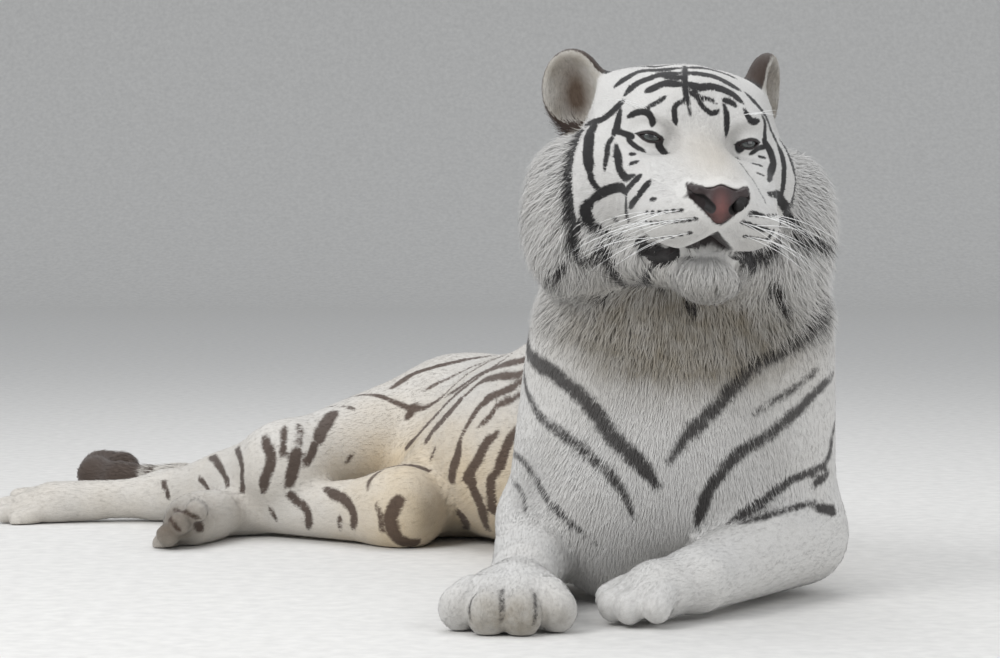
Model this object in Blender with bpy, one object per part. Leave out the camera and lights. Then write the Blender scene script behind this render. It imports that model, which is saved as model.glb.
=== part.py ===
"""A white tiger at rest, life size: the chest upright on its elbows, the hindquarters rolled on the left hip.

Metres, +Z up, the floor at Z 0. The tiger looks along -Y, so its left is +X and its right -X.
The body is one smooth form: named masses of flesh and coat melt into each other, the form is cut flat
where it rests, and the parts are then taken out of it one by one with thin cuts.
Every point below is placed from a spot under the right elbow, and the finished parts are then moved
together, so that the origin is under the middle of their box.
"""

import math

import bmesh
import bpy
import numpy as np
from mathutils import Matrix, Vector

# Driving sizes
GAP = 0.0004  # between two parts that touch
FORM_VOXEL = 0.0068  # of the remeshed masses, before they settle on the smooth form
FORM_FACES = 3500  # triangles of the whole form, before it is parted
FINE_REACH = 0.21  # round the point between the eyes, where the triangles are closely spaced
FINE_WEIGHT, FINE_FACTOR = 0.9, 0.015  # how much more closely
COARSE_BALL = 1.12  # how much larger a ball of few faces is made, to hold the round one
EYE_RADIUS = 0.0195
EYE_GAP = 0.120  # between the middles of the eyes
EYE_BACK = 0.010  # from the middle of the lids to the middle of the eye
HEAD_AT = np.array((0.247, -0.200, 0.600))  # between the eyes
HEAD_TURN = math.radians(11.5)  # towards its left
HEAD_LEAN = math.radians(3.6)  # the crown towards its left
NOSE_SIDE = -0.0055  # of the nose, from the middle of the eyes
EAR_TURN = {1: math.radians(60), -1: math.radians(38)}  # of an ear's opening, outwards from straight ahead


def unit(v):
    v = np.asarray(v, float)
    return v / np.linalg.norm(v)


def axes(along, up):
    """Rows: across, along, up."""
    y = unit(along)
    x = unit(np.cross(y, up))
    return np.stack([x, y, np.cross(x, y)])


def ramp(low, high, value):
    """0 below low, 1 above high, smooth between."""
    t = np.clip((value - low) / (high - low), 0, 1)
    return t * t * (3 - 2 * t)


def melt(a, b, k):
    """The union of two distance fields, with a fillet of about k."""
    h = np.clip(k - np.abs(a - b), 0, None) / k
    return np.minimum(a, b) - h * h * k / 4


def carve(a, b, k):
    """Field a less field b, with an edge rounded by about k."""
    return -melt(-a, b, k)


class Blob:
    """An ellipsoid of flesh: half sizes across, along and up its own axes."""

    def __init__(self, at, half, along=(0, 1, 0), up=(0, 0, 1)):
        self.at, self.half, self.axes = np.array(at, float), np.array(half, float), axes(along, up)

    def placed(self, turn, to):
        """The same blob in an outer frame."""
        new = Blob(turn.T @ self.at + to, self.half)
        new.axes = self.axes @ turn
        return new

    def distance(self, p):
        reach = np.linalg.norm(p - self.at, axis=1) - self.half.max()
        near = reach < 0.12
        q = (p[near] - self.at) @ self.axes.T
        inner = np.linalg.norm(q / self.half, axis=1)
        outer = np.linalg.norm(q / self.half**2, axis=1) + 1e-9
        reach[near] = inner * (inner - 1) / outer
        return reach

    def balls(self):
        yield self.at, self.half, self.axes


class Bone:
    """A tapered, round-ended limb from a to b; flat presses it along its up axis."""

    def __init__(self, a, b, ra, rb, flat=1.0, up=(0, 0, 1)):
        self.a, self.b, self.ra, self.rb, self.flat = np.array(a, float), np.array(b, float), ra, rb, flat
        self.up = axes(self.b - self.a, up)[2]

    def placed(self, turn, to):
        return Bone(turn.T @ self.a + to, turn.T @ self.b + to, self.ra, self.rb, self.flat, turn.T @ self.up)

    def distance(self, p):
        span = self.b - self.a
        middle, half = (self.a + self.b) / 2, np.linalg.norm(span) / 2
        reach = np.linalg.norm(p - middle, axis=1) - half - max(self.ra, self.rb)
        near = reach < 0.12
        q = p[near] - self.a
        t = np.clip(q @ span / (span @ span), 0, 1)
        q = q - t[:, None] * span
        q = q + np.outer(q @ self.up, self.up) * (1 / self.flat - 1)
        reach[near] = (np.linalg.norm(q, axis=1) - (self.ra + (self.rb - self.ra) * t)) * min(1, self.flat)
        return reach

    def balls(self):
        turn = axes(self.b - self.a, self.up)
        count = 2 + int(2 * np.linalg.norm(self.b - self.a) / min(self.ra, self.rb))
        for t in np.linspace(0, 1, count):
            r = self.ra + (self.rb - self.ra) * t
            yield self.a + (self.b - self.a) * t, np.array([r, r, r * self.flat]), turn


class Group:
    """Masses that melt together by k."""

    def __init__(self, k, *masses):
        self.k, self.masses = k, list(masses)

    def distance(self, p):
        d = self.masses[0].distance(p)
        for mass in self.masses[1:]:
            d = melt(d, mass.distance(p), self.k)
        return d


# Trunk: upright at the chest, rolled on its left side at the hips
TORSO = Group(
    0.07,
    Blob((0.235, 0.10, 0.245), (0.155, 0.20, 0.205)),  # chest
    Blob((0.235, -0.03, 0.215), (0.125, 0.10, 0.165)),  # breast
    Blob((0.205, 0.36, 0.210), (0.160, 0.25, 0.185), (-0.17, 1, 0)),  # ribs
    Blob((0.150, -0.02, 0.130), (0.105, 0.10, 0.130)),  # brisket
    Blob((0.235, 0.17, 0.390), (0.090, 0.17, 0.080)),  # withers
    Blob((0.130, 0.62, 0.180), (0.155, 0.23, 0.160), (-0.32, 1, 0)),  # waist
    Blob((0.010, 0.70, 0.120), (0.125, 0.20, 0.120), (-0.30, 1, 0)),  # belly
    Blob((0.045, 0.84, 0.150), (0.145, 0.21, 0.140), (-0.40, 1, 0)),  # loin
    Blob((-0.010, 1.03, 0.140), (0.150, 0.19, 0.132), (-0.25, 1, 0)),  # hips
    Blob((-0.020, 1.17, 0.125), (0.100, 0.10, 0.095)),  # rump
)
NECK = Group(
    0.06,
    Bone((0.235, 0.13, 0.350), (0.225, -0.03, 0.530), 0.150, 0.125),
    Blob((0.238, -0.045, 0.420), (0.176, 0.10, 0.115)),  # throat ruff
)


def head_frame():
    """Rows: the head's left, back and up in the outer frame."""
    turn = np.array(Matrix.Rotation(HEAD_TURN, 3, "Z") @ Matrix.Rotation(HEAD_LEAN, 3, "Y"))
    return turn.T


HEAD = head_frame()


def in_head(*points):
    """Points of the head's own frame, in the outer frame."""
    return [HEAD.T @ np.array(point, float) + HEAD_AT for point in points]


def both(*masses):
    """Each mass and its mirror image across the head's middle plane."""
    for mass in masses:
        for side in (1, -1):
            flip = np.array([side, 1, 1])
            if isinstance(mass, Blob):
                new = Blob(mass.at * flip, mass.half)
                new.axes = mass.axes * flip * np.array([[side], [1], [1]])
            else:
                new = Bone(mass.a * flip, mass.b * flip, mass.ra, mass.rb, mass.flat, mass.up * flip)
            yield new


def placed_in_head(masses):
    return [mass.placed(HEAD, HEAD_AT) for mass in masses]


SKULL = Group(0.035, *placed_in_head([
    Blob((0, 0.100, 0.014), (0.098, 0.112, 0.085)),  # skull
    Blob((0, 0.050, 0.040), (0.074, 0.062, 0.048)),  # forehead
    Bone((0, 0.010, -0.007), (0, -0.106, -0.075), 0.036, 0.031, 0.85),  # bridge of the nose
    *both(
        Blob((0.068, 0.115, 0.038), (0.056, 0.085, 0.050)),  # side of the crown
        Blob((0.055, 0.020, 0.026), (0.034, 0.036, 0.019)),  # brow
        Blob((0.085, 0.070, -0.040), (0.056, 0.080, 0.058)),  # cheek
        Blob((0.052, 0.005, -0.066), (0.042, 0.072, 0.046), (-0.35, 1, 0)),  # under the eye
    ),
]))
MUZZLE = Group(0.012, *placed_in_head([
    Blob((-0.002, -0.045, -0.082), (0.064, 0.088, 0.044)),  # upper jaw
    Blob((0.007, -0.054, -0.168), (0.047, 0.042, 0.035)),  # chin
    *both(
        Blob((0.042, -0.083, -0.101), (0.044, 0.050, 0.036), (0.25, 1, 0)),  # whisker pad
        Bone((0.022, -0.025, -0.158), (0.085, 0.085, -0.134), 0.030, 0.050),  # jaw
    ),
]))
NOSE = Group(0.010, *placed_in_head([
    Blob((NOSE_SIDE, -0.128, -0.070), (0.033, 0.015, 0.015)),
    Blob((NOSE_SIDE, -0.130, -0.082), (0.019, 0.012, 0.018)),
]))
RUFF = Group(0.04, *placed_in_head([
    Blob((0.151, 0.110, -0.104), (0.074, 0.080, 0.116), (0.3, 1, 0)),  # left cheek's ruff
    Blob((-0.128, 0.112, -0.098), (0.068, 0.078, 0.114), (-0.3, 1, 0)),  # right cheek's ruff
]))
SOCKETS = Group(0.001, *placed_in_head(both(
    Blob((0.062, -0.012, -0.001), (0.026, 0.022, 0.015), (-0.35, 1, 0), (-0.15, 0, 1)),
)))


def head_form(p):
    d = melt(SKULL.distance(p), MUZZLE.distance(p), 0.045)
    d = melt(d, RUFF.distance(p), 0.060)
    d = melt(d, NOSE.distance(p), 0.006)
    return carve(d, SOCKETS.distance(p), 0.016)


TOE_MELT = 0.009


def paw(wrist, tip, width, height, up=(0, 0, 1)):
    """A palm and four toes that fan a little, the outer two shorter."""
    wrist, tip = np.array(wrist, float), np.array(tip, float)
    across, along, over = axes(tip - wrist, up)
    length = np.linalg.norm(tip - wrist)
    palm = wrist + along * length * 0.45
    masses = [
        Bone(wrist, palm, height * 0.44, height * 0.50, 1.0, up),
        Blob(palm, (width * 0.40, length * 0.37, height * 0.45), along, up),
    ]
    toe = width * 0.160
    for spread in (-0.38, -0.13, 0.13, 0.38):
        shorter = 0.14 * (abs(spread) > 0.3)
        root = palm + across * width * spread * 0.8 + along * length * 0.15
        end = wrist + along * (length * (1 - shorter) - toe) + across * width * spread - over * height * 0.10
        masses.append(Bone(root, end, toe * 1.05, toe * 1.08, 1.15, up))
    return masses


class Leg:
    """A limb's masses, and how far from its root it starts and ends melting into the trunk."""

    def __init__(self, root, near, far, k, limb, foot):
        self.root, self.near, self.far = np.array(root, float), near, far
        self.limb, self.foot = Group(k, *limb), Group(TOE_MELT, *foot)

    def joined(self, d, p):
        share = ramp(self.near, self.far, np.linalg.norm(p - self.root, axis=1))
        leg = melt(self.limb.distance(p), self.foot.distance(p), 0.02)
        return melt(d, leg, 0.07 + (0.018 - 0.07) * share)


LEGS = [
    Leg(
        (0.13, 0.06, 0.32), 0.20, 0.30, 0.035,  # right foreleg
        [
            Blob((0.125, 0.08, 0.305), (0.080, 0.145, 0.145), (0, 1, 0.35)),
            Bone((0.120, -0.02, 0.320), (0.075, 0.11, 0.105), 0.085, 0.068),
            Blob((0.095, 0.16, 0.190), (0.062, 0.09, 0.120)),
            Bone((0.062, 0.11, 0.085), (0.030, -0.16, 0.050), 0.068, 0.044),
        ],
        paw((0.030, -0.16, 0.050), (0.002, -0.365, 0.030), 0.158, 0.080),
    ),
    Leg(
        (0.35, 0.06, 0.32), 0.20, 0.30, 0.035,  # left foreleg
        [
            Blob((0.355, 0.08, 0.305), (0.082, 0.145, 0.145), (0, 1, 0.35)),
            Bone((0.350, -0.02, 0.320), (0.390, 0.09, 0.105), 0.088, 0.068),
            Blob((0.375, 0.15, 0.200), (0.070, 0.09, 0.120)),
            Bone((0.400, 0.05, 0.078), (0.248, -0.195, 0.050), 0.068, 0.044),
        ],
        paw((0.248, -0.195, 0.050), (0.132, -0.278, 0.030), 0.120, 0.080),
    ),
    Leg(
        (-0.08, 1.03, 0.15), 0.18, 0.32, 0.045,  # right hind leg
        [
            Bone((-0.090, 1.03, 0.150), (-0.335, 0.76, 0.110), 0.115, 0.068),
            Bone((-0.100, 1.14, 0.125), (-0.420, 0.93, 0.080), 0.085, 0.045),
            Blob((-0.220, 0.940, 0.110), (0.150, 0.130, 0.070)),
            Bone((-0.340, 0.76, 0.110), (-0.555, 1.00, 0.045), 0.066, 0.034),
            Bone((-0.555, 1.00, 0.040), (-0.740, 0.985, 0.034), 0.036, 0.032),
        ],
        paw((-0.680, 0.985, 0.034), (-0.835, 0.965, 0.026), 0.095, 0.062, (0, -0.5, 1)),
    ),
    Leg(
        (0.0, 0.93, 0.11), 0.18, 0.30, 0.045,  # left hind leg
        [
            Bone((0.000, 0.95, 0.100), (-0.150, 0.63, 0.058), 0.105, 0.057),
            Bone((-0.150, 0.62, 0.056), (-0.415, 0.80, 0.038), 0.057, 0.033),
            Bone((-0.415, 0.80, 0.036), (-0.465, 0.68, 0.038), 0.036, 0.038),
        ],
        paw((-0.450, 0.71, 0.040), (-0.508, 0.555, 0.036), 0.102, 0.084, (-0.7, 0, 0.7)),
    ),
]
TAIL_PATH = [
    (-0.020, 1.20, 0.120), (-0.090, 1.33, 0.060), (-0.230, 1.39, 0.038), (-0.420, 1.40, 0.034),
    (-0.580, 1.41, 0.032), (-0.690, 1.44, 0.032), (-0.745, 1.50, 0.034), (-0.742, 1.56, 0.037),
    (-0.705, 1.58, 0.038),
]
TAIL_RADII = (0.055, 0.038, 0.033, 0.031, 0.030, 0.030, 0.032, 0.036, 0.036)
TAIL = Group(
    0.02,
    *[Bone(*TAIL_PATH[i:i + 2], *TAIL_RADII[i:i + 2]) for i in range(len(TAIL_PATH) - 1)],
)
EAR_AT = {1: (0.123, 0.140, 0.072), -1: (-0.130, 0.140, 0.057)}  # of the left ear, and of the right
EAR_HALF = (0.046, 0.028, 0.058)
EAR_LEAN = {1: 0.78, -1: 0.30}  # outwards, to 1 upwards


def ears(side):
    """An ear's outer form and the hollow in front of it, in the outer frame."""
    out = np.array([side * math.sin(EAR_TURN[side]), -math.cos(EAR_TURN[side]), 0])
    lean = np.array([side * EAR_LEAN[side], 0.05, 1])
    at = np.array(EAR_AT[side])
    shell = Blob(at, EAR_HALF, out, lean)
    hollow = Blob(at + out * 0.033 + np.array([0, 0, 0.001]), (0.040, 0.037, 0.052), out, lean)
    return placed_in_head([shell, hollow])


EARS = {side: ears(side) for side in (1, -1)}


def with_ears(d, p):
    for shell, hollow in EARS.values():
        d = melt(d, shell.distance(p), 0.02)
        d = carve(d, hollow.distance(p), 0.008)
    return d


def form(p):
    """Signed distance to the coat of the whole tiger, about right near its surface."""
    d = melt(TORSO.distance(p), NECK.distance(p), 0.08)
    d = melt(d, head_form(p), 0.04)
    for leg in LEGS:
        d = leg.joined(d, p)
    d = melt(d, TAIL.distance(p), 0.04)
    return with_ears(d, p)


def masses():
    """Every mass that adds to the form."""
    for group in (TORSO, NECK, SKULL, MUZZLE, NOSE, RUFF, TAIL):
        yield from group.masses
    for leg in LEGS:
        yield from leg.limb.masses + leg.foot.masses
    for shell, hollow in EARS.values():
        yield shell


# Meshes


def new_object(name, mesh):
    thing = bpy.data.objects.new(name, mesh)
    bpy.context.scene.collection.objects.link(thing)
    return thing


def ball(bm, at, half, rows, detail):
    place = Matrix.LocRotScale(Vector(at), Matrix(rows.T.tolist()).to_quaternion(), Vector(half))
    return bmesh.ops.create_icosphere(bm, subdivisions=detail, radius=1.0, matrix=place)["verts"]


def points_of(mesh):
    co = np.empty(len(mesh.vertices) * 3, np.float32)
    mesh.vertices.foreach_get("co", co)
    return co.reshape(-1, 3).astype(float)


def set_points(mesh, p):
    mesh.vertices.foreach_set("co", p.astype(np.float32).ravel())
    mesh.update()


def remesh(thing, voxel):
    """The outer surface of all the closed shells in an object."""
    bpy.context.view_layer.objects.active = thing
    thing.data.remesh_voxel_size = voxel
    thing.data.remesh_voxel_adaptivity = 0
    bpy.ops.object.voxel_remesh()


def settle(mesh, field, steps, relax):
    """Moves the vertices onto the field's zero level, and evens out their spacing."""
    p = points_of(mesh)
    edges = np.empty(len(mesh.edges) * 2, np.int32)
    mesh.edges.foreach_get("vertices", edges)
    edges = edges.reshape(-1, 2)
    degree = np.bincount(edges.ravel(), minlength=len(p))[:, None]
    corners = np.array([(1, 1, 1), (1, -1, -1), (-1, 1, -1), (-1, -1, 1)]) * 0.001
    for _ in range(steps):
        values = [field(p + corner) for corner in corners]
        slope = sum(np.outer(value, corner) for value, corner in zip(values, corners))
        slope /= np.linalg.norm(slope, axis=1)[:, None] + 1e-12
        p -= slope * np.clip(np.mean(values, axis=0), -0.006, 0.006)[:, None]
        around = np.stack([np.bincount(edges[:, 0], p[edges[:, 1], i], len(p))
                           + np.bincount(edges[:, 1], p[edges[:, 0], i], len(p)) for i in range(3)], 1)
        drift = around / degree - p
        drift -= slope * (drift * slope).sum(1)[:, None]
        p += drift * relax
    set_points(mesh, p)


def grown(name, field, parts, voxel):
    """The surface where the field is 0, grown out of the balls that make up the parts."""
    bm = bmesh.new()
    for part in parts:
        for at, half, rows in part.balls():
            ball(bm, at, half, rows, 2)
    mesh = bpy.data.meshes.new(name)
    bm.to_mesh(mesh)
    bm.free()
    thing = new_object(name, mesh)
    remesh(thing, voxel)
    for _ in range(3):
        settle(thing.data, field, 3, 0.3)
        remesh(thing, voxel)
    settle(thing.data, field, 6, 0.5)
    return thing


def thinned(thing, faces):
    """The same form on fewer triangles, closely spaced on the head."""
    mesh = thing.data
    reach = np.linalg.norm(points_of(mesh) - HEAD_AT, axis=1)
    fine = thing.vertex_groups.new(name="fine")
    fine.add([int(i) for i in np.flatnonzero(reach < FINE_REACH)], FINE_WEIGHT, "REPLACE")
    thin = thing.modifiers.new("thin", "DECIMATE")
    thin.ratio = faces / (2 * len(mesh.polygons))
    thin.use_collapse_triangulate = True
    thin.vertex_group = "fine"
    thin.vertex_group_factor = FINE_FACTOR
    thin.invert_vertex_group = True
    return applied(thing)


def applied(thing):
    """The object with its modifiers made part of its mesh."""
    graph = bpy.context.evaluated_depsgraph_get()
    mesh = bpy.data.meshes.new_from_object(thing.evaluated_get(graph))
    thing.modifiers.clear()
    thing.vertex_groups.clear()
    thing.data = mesh
    return thing


def hull(name, balls=(), points=(), detail=1):
    """A closed convex mesh round balls (middle, radius) and points."""
    bm = bmesh.new()
    for at, radius in balls:
        ball(bm, at, (radius * (COARSE_BALL if detail == 1 else 1),) * 3, np.eye(3), detail)
    for point in points:
        bm.verts.new(point)
    bmesh.ops.delete(bm, geom=bm.edges[:] + bm.faces[:], context="EDGES_FACES")
    bmesh.ops.convex_hull(bm, input=bm.verts)
    bmesh.ops.delete(bm, geom=[vert for vert in bm.verts if not vert.link_faces], context="VERTS")
    bmesh.ops.recalc_face_normals(bm, faces=bm.faces)
    mesh = bpy.data.meshes.new(name)
    bm.to_mesh(mesh)
    bm.free()
    return new_object(name, mesh)


def grow_by(thing, amount):
    """Moves every face of a closed mesh out by an amount."""
    bm = bmesh.new()
    bm.from_mesh(thing.data)
    bm.normal_update()
    moves = [(vert, vert.normal * vert.calc_shell_factor() * amount) for vert in bm.verts]
    for vert, move in moves:
        vert.co += move
    bm.to_mesh(thing.data)
    bm.free()


def cut(thing, cutter, operation):
    boolean = thing.modifiers.new("cut", "BOOLEAN")
    boolean.operation = operation
    boolean.object = cutter
    applied(thing)


def taken(rest, name, cell, colour, roughness=0.85):
    """The part of rest inside a cell, as a new object; rest keeps what is outside, less the gap."""
    piece = new_object(name, rest.data.copy())
    cut(piece, cell, "INTERSECT")
    grow_by(cell, GAP)
    cut(rest, cell, "DIFFERENCE")
    bpy.data.objects.remove(cell)
    finish(piece, colour, roughness)
    return piece


def drop_crumbs(thing):
    """Keeps the largest body of a mesh: a cell can miss a thin shaving of the form."""
    bm = bmesh.new()
    bm.from_mesh(thing.data)
    left, largest = set(bm.verts), set()
    while left:
        body, reached = set(), {left.pop()}
        while reached:
            body |= reached
            reached = {edge.other_vert(vert) for vert in reached for edge in vert.link_edges} - body
        left -= body
        largest = max(largest, body, key=len)
    bmesh.ops.delete(bm, geom=[vert for vert in bm.verts if vert not in largest], context="VERTS")
    bm.to_mesh(thing.data)
    bm.free()


def finish(thing, colour, roughness=0.85):
    drop_crumbs(thing)
    thing.data.materials.clear()
    material = bpy.data.materials.new(thing.name)
    material.use_nodes = True
    shader = material.node_tree.nodes["Principled BSDF"]
    shader.inputs["Base Color"].default_value = (*colour, 1)
    shader.inputs["Roughness"].default_value = roughness
    shader.inputs["Metallic"].default_value = 0
    thing.data.materials.append(material)
    thing.data.shade_smooth()
    thing.data.set_sharp_from_angle(angle=math.radians(40))


# Parts: each is what a cell takes out of the form, in this order

WHITE = (0.80, 0.78, 0.74)
CREAM = (0.70, 0.62, 0.50)
DARK = (0.10, 0.085, 0.075)
NOSE_PINK = (0.30, 0.15, 0.14)
EYE_BLUE = (0.23, 0.33, 0.42)


def along(a, b, t):
    return np.array(a) + (np.array(b) - np.array(a)) * t


def head_cell():
    spots = [((0, 0.085, 0.010), 0.135), ((0, -0.085, -0.09), 0.085), ((0, -0.05, -0.155), 0.062)]
    for side in (1, -1):
        spots += [((side * 0.125, 0.09, -0.05), 0.115), ((side * 0.125, 0.09, -0.14), 0.098)]
    return hull("head_cell", [(in_head(at)[0], r) for at, r in spots])


def jaw_cell():
    points = [(side * x, y, z) for side in (1, -1) for x, y, z in (
        (0.052, -0.16, -0.133), (0.078, 0.03, -0.146), (0.052, -0.16, -0.23), (0.078, 0.03, -0.23))]
    return hull("jaw_cell", points=in_head(*points))


def nose_cell():
    points = [(side * x, y, z) for side in (1, -1) for x, y, z in (
        (0.038, -0.119, -0.056), (0.038, -0.17, -0.056), (0.013, -0.119, -0.106), (0.013, -0.17, -0.106))]
    points = [(x + NOSE_SIDE, y, z) for x, y, z in points]
    return hull("nose_cell", points=in_head(*points))


def slab(point, normal):
    """A great block on the far side of a plane."""
    x, y, z = axes(normal, (1, 0, 0))
    corners = [np.array(point) + x * i + y * j + z * k for i in (-3, 3) for j in (0, 4) for k in (-3, 3)]
    return hull("slab", points=corners)


def limb_cells():
    """Name and cell of each part of the legs and the tail, from the tips inwards."""
    yield "forepaw_right", hull("c", [
        ((0.024, -0.20, 0.045), 0.066), ((0.016, -0.29, 0.035), 0.092), ((-0.045, -0.34, 0.03), 0.050),
        ((0.060, -0.35, 0.03), 0.050)])
    yield "forearm_right", hull("c", [((0.062, 0.12, 0.080), 0.088), ((0.030, -0.17, 0.050), 0.062)])
    yield "upper_arm_right", hull("c", [
        ((0.105, 0.06, 0.34), 0.105), ((0.085, 0.16, 0.18), 0.095), ((0.110, 0.16, 0.28), 0.115)])
    yield "forepaw_left", hull("c", [
        ((0.222, -0.215, 0.045), 0.060), ((0.190, -0.245, 0.035), 0.075), ((0.150, -0.235, 0.03), 0.055),
        ((0.130, -0.310, 0.03), 0.048)])
    yield "forearm_left", hull("c", [((0.400, 0.06, 0.080), 0.090), ((0.248, -0.195, 0.050), 0.062)])
    yield "upper_arm_left", hull("c", [
        ((0.372, 0.06, 0.34), 0.105), ((0.385, 0.16, 0.18), 0.098), ((0.365, 0.16, 0.28), 0.115)])
    for side, spots in (
        ("right", [
            ((-0.565, 1.00, 0.036), 0.070), ((-0.700, 0.985, 0.03), 0.070), ((-0.79, 0.97, 0.03), 0.078)]),
        ("left", [
            ((-0.430, 0.79, 0.036), 0.066), ((-0.480, 0.66, 0.036), 0.075), ((-0.50, 0.58, 0.034), 0.075)]),
    ):
        yield f"hind_foot_{side}", hull("c", spots)
    yield "shank_right", hull("c", [((-0.345, 0.755, 0.115), 0.100), ((-0.560, 1.00, 0.045), 0.050)])
    yield "shank_left", hull("c", [((-0.155, 0.61, 0.065), 0.102), ((-0.420, 0.80, 0.038), 0.060)])
    yield "thigh_right", hull("c", [
        ((-0.120, 1.03, 0.160), 0.130), ((-0.320, 0.77, 0.115), 0.115), ((-0.41, 0.93, 0.08), 0.080)])
    yield "thigh_left", hull("c", [((-0.030, 0.92, 0.085), 0.100), ((-0.160, 0.63, 0.065), 0.098)])
    yield "tail_tip", hull("c", [(at, 0.047) for at in TAIL_PATH[5:]])
    yield "tail_middle", hull("c", [(at, 0.046) for at in TAIL_PATH[2:6]])
    yield "tail_root", hull("c", [
        (along(*TAIL_PATH[:2], 0.45), 0.062), (TAIL_PATH[1], 0.052), (TAIL_PATH[2], 0.046)])


def centre(things):
    """Moves the parts together until the origin is in the middle of their box."""
    points = np.concatenate([points_of(thing.data) for thing in things])
    middle = (points.min(axis=0) + points.max(axis=0)) / 2
    for thing in things:
        thing.data.transform(Matrix.Translation((-middle[0], -middle[1], 0)))
        thing.data.update()


def build():
    for thing in list(bpy.data.objects):
        bpy.data.objects.remove(thing)
    rest = thinned(grown("loin", form, masses(), FORM_VOXEL), FORM_FACES)
    ground = slab((0, 0, 0), (0, 0, -1))
    cut(rest, ground, "DIFFERENCE")
    bpy.data.objects.remove(ground)
    for side, sign in (("left", 1), ("right", -1)):
        at = in_head((sign * EYE_GAP / 2, EYE_BACK, 0))[0]
        eye = hull(f"eye_{side}", [(at, EYE_RADIUS)], detail=2)
        finish(eye, EYE_BLUE, 0.1)
        pocket = hull("pocket", [(at, EYE_RADIUS)], detail=2)
        grow_by(pocket, GAP)
        cut(rest, pocket, "DIFFERENCE")
        bpy.data.objects.remove(pocket)
        ear_at = in_head(*[np.array(EAR_AT[sign]) + (0, 0, rise) for rise in (0.010, 0.030)])
        taken(rest, f"ear_{side}", hull("c", [(ear_at[0], 0.058), (ear_at[1], 0.054)]), WHITE)
    taken(rest, "nose_pad", nose_cell(), NOSE_PINK, 0.4)
    taken(rest, "jaw", jaw_cell(), WHITE)
    taken(rest, "head", head_cell(), WHITE)
    for name, cell in limb_cells():
        taken(rest, name, cell, DARK if name == "tail_tip" else CREAM if "tail" in name else WHITE)
    taken(rest, "neck", slab((0.235, 0.05, 0.40), (0, -0.35, 0.94)), WHITE)
    taken(rest, "chest", slab((0.20, 0.46, 0.2), (0.0, -1, 0)), WHITE)
    taken(rest, "rump", slab((0.05, 0.90, 0.2), (-0.30, 1, 0)), CREAM)
    finish(rest, CREAM)
    centre(list(bpy.data.objects))


build()
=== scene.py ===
"""A white tiger at rest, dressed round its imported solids: skin, eyes, nose, coat, whiskers and a studio.

Everything is worked out in the body's own place, measured from a spot under the right elbow, with the floor
at 0, and each finished piece is then moved to where the solids stand.
"""

import math

import bmesh
import bpy
import numpy as np
from mathutils import Matrix, Vector
from mathutils.bvhtree import BVHTree


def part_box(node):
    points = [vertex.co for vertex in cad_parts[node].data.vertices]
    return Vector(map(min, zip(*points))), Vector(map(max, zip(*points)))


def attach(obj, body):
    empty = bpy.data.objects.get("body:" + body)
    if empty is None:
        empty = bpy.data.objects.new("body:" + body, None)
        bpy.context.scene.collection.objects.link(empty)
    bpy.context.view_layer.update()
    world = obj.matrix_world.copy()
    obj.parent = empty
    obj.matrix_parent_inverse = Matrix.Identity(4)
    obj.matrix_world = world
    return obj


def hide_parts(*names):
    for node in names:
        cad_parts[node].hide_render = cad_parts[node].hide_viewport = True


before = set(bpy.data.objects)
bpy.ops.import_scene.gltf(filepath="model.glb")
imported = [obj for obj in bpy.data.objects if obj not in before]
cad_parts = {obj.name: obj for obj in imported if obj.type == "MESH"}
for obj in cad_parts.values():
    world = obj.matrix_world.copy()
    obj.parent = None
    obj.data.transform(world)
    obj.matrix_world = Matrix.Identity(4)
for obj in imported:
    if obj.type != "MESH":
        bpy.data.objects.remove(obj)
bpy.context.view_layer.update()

bl_info = {
    "name": "White tiger",
    "version": (1, 0, 0),
    "blender": (4, 5, 0),
    "location": "View3D > Sidebar > Tiger",
    "description": "Skin, coat, eyes, nose and whiskers of a white tiger at rest, and a studio to show it in",
    "category": "Object",
}

# Sizes shared by the pieces, in metres
EYE_RADIUS = 0.0195
EYE_GAP = 0.120  # between the middles of the eyes
EYE_BACK = 0.010  # from the middle of the lids to the middle of the eye
HEAD_AT = np.array((0.247, -0.200, 0.600))  # between the eyes
HEAD_TURN = math.radians(11.5)  # towards its left
HEAD_LEAN = math.radians(3.6)  # the crown towards its left
NOSE_SIDE = -0.0055  # of the nose, from the middle of the eyes
EAR_TURN = {1: math.radians(60), -1: math.radians(38)}  # of an ear's opening, outwards from straight ahead
SKIN_VOXEL = 0.0095
NOSE_VOXELS = (0.0022, 0.0014, 0.0011)
SEED = 11


# ---- fields of distance ----


def unit(v):
    v = np.asarray(v, float)
    return v / np.linalg.norm(v)


def units(v):
    """Each row made one long."""
    return v / (np.linalg.norm(v, axis=1)[:, None] + 1e-12)


def axes(along, up):
    """Rows: across, along, up."""
    y = unit(along)
    x = unit(np.cross(y, up))
    return np.stack([x, y, np.cross(x, y)])


def ramp(low, high, value):
    """0 below low, 1 above high, smooth between."""
    t = np.clip((value - low) / (high - low), 0, 1)
    return t * t * (3 - 2 * t)


def melt(a, b, k):
    """The union of two distance fields, with a fillet of about k."""
    h = np.clip(k - np.abs(a - b), 0, None) / k
    return np.minimum(a, b) - h * h * k / 4


def carve(a, b, k):
    """Field a less field b, with an edge rounded by about k."""
    return -melt(-a, b, k)


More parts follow.
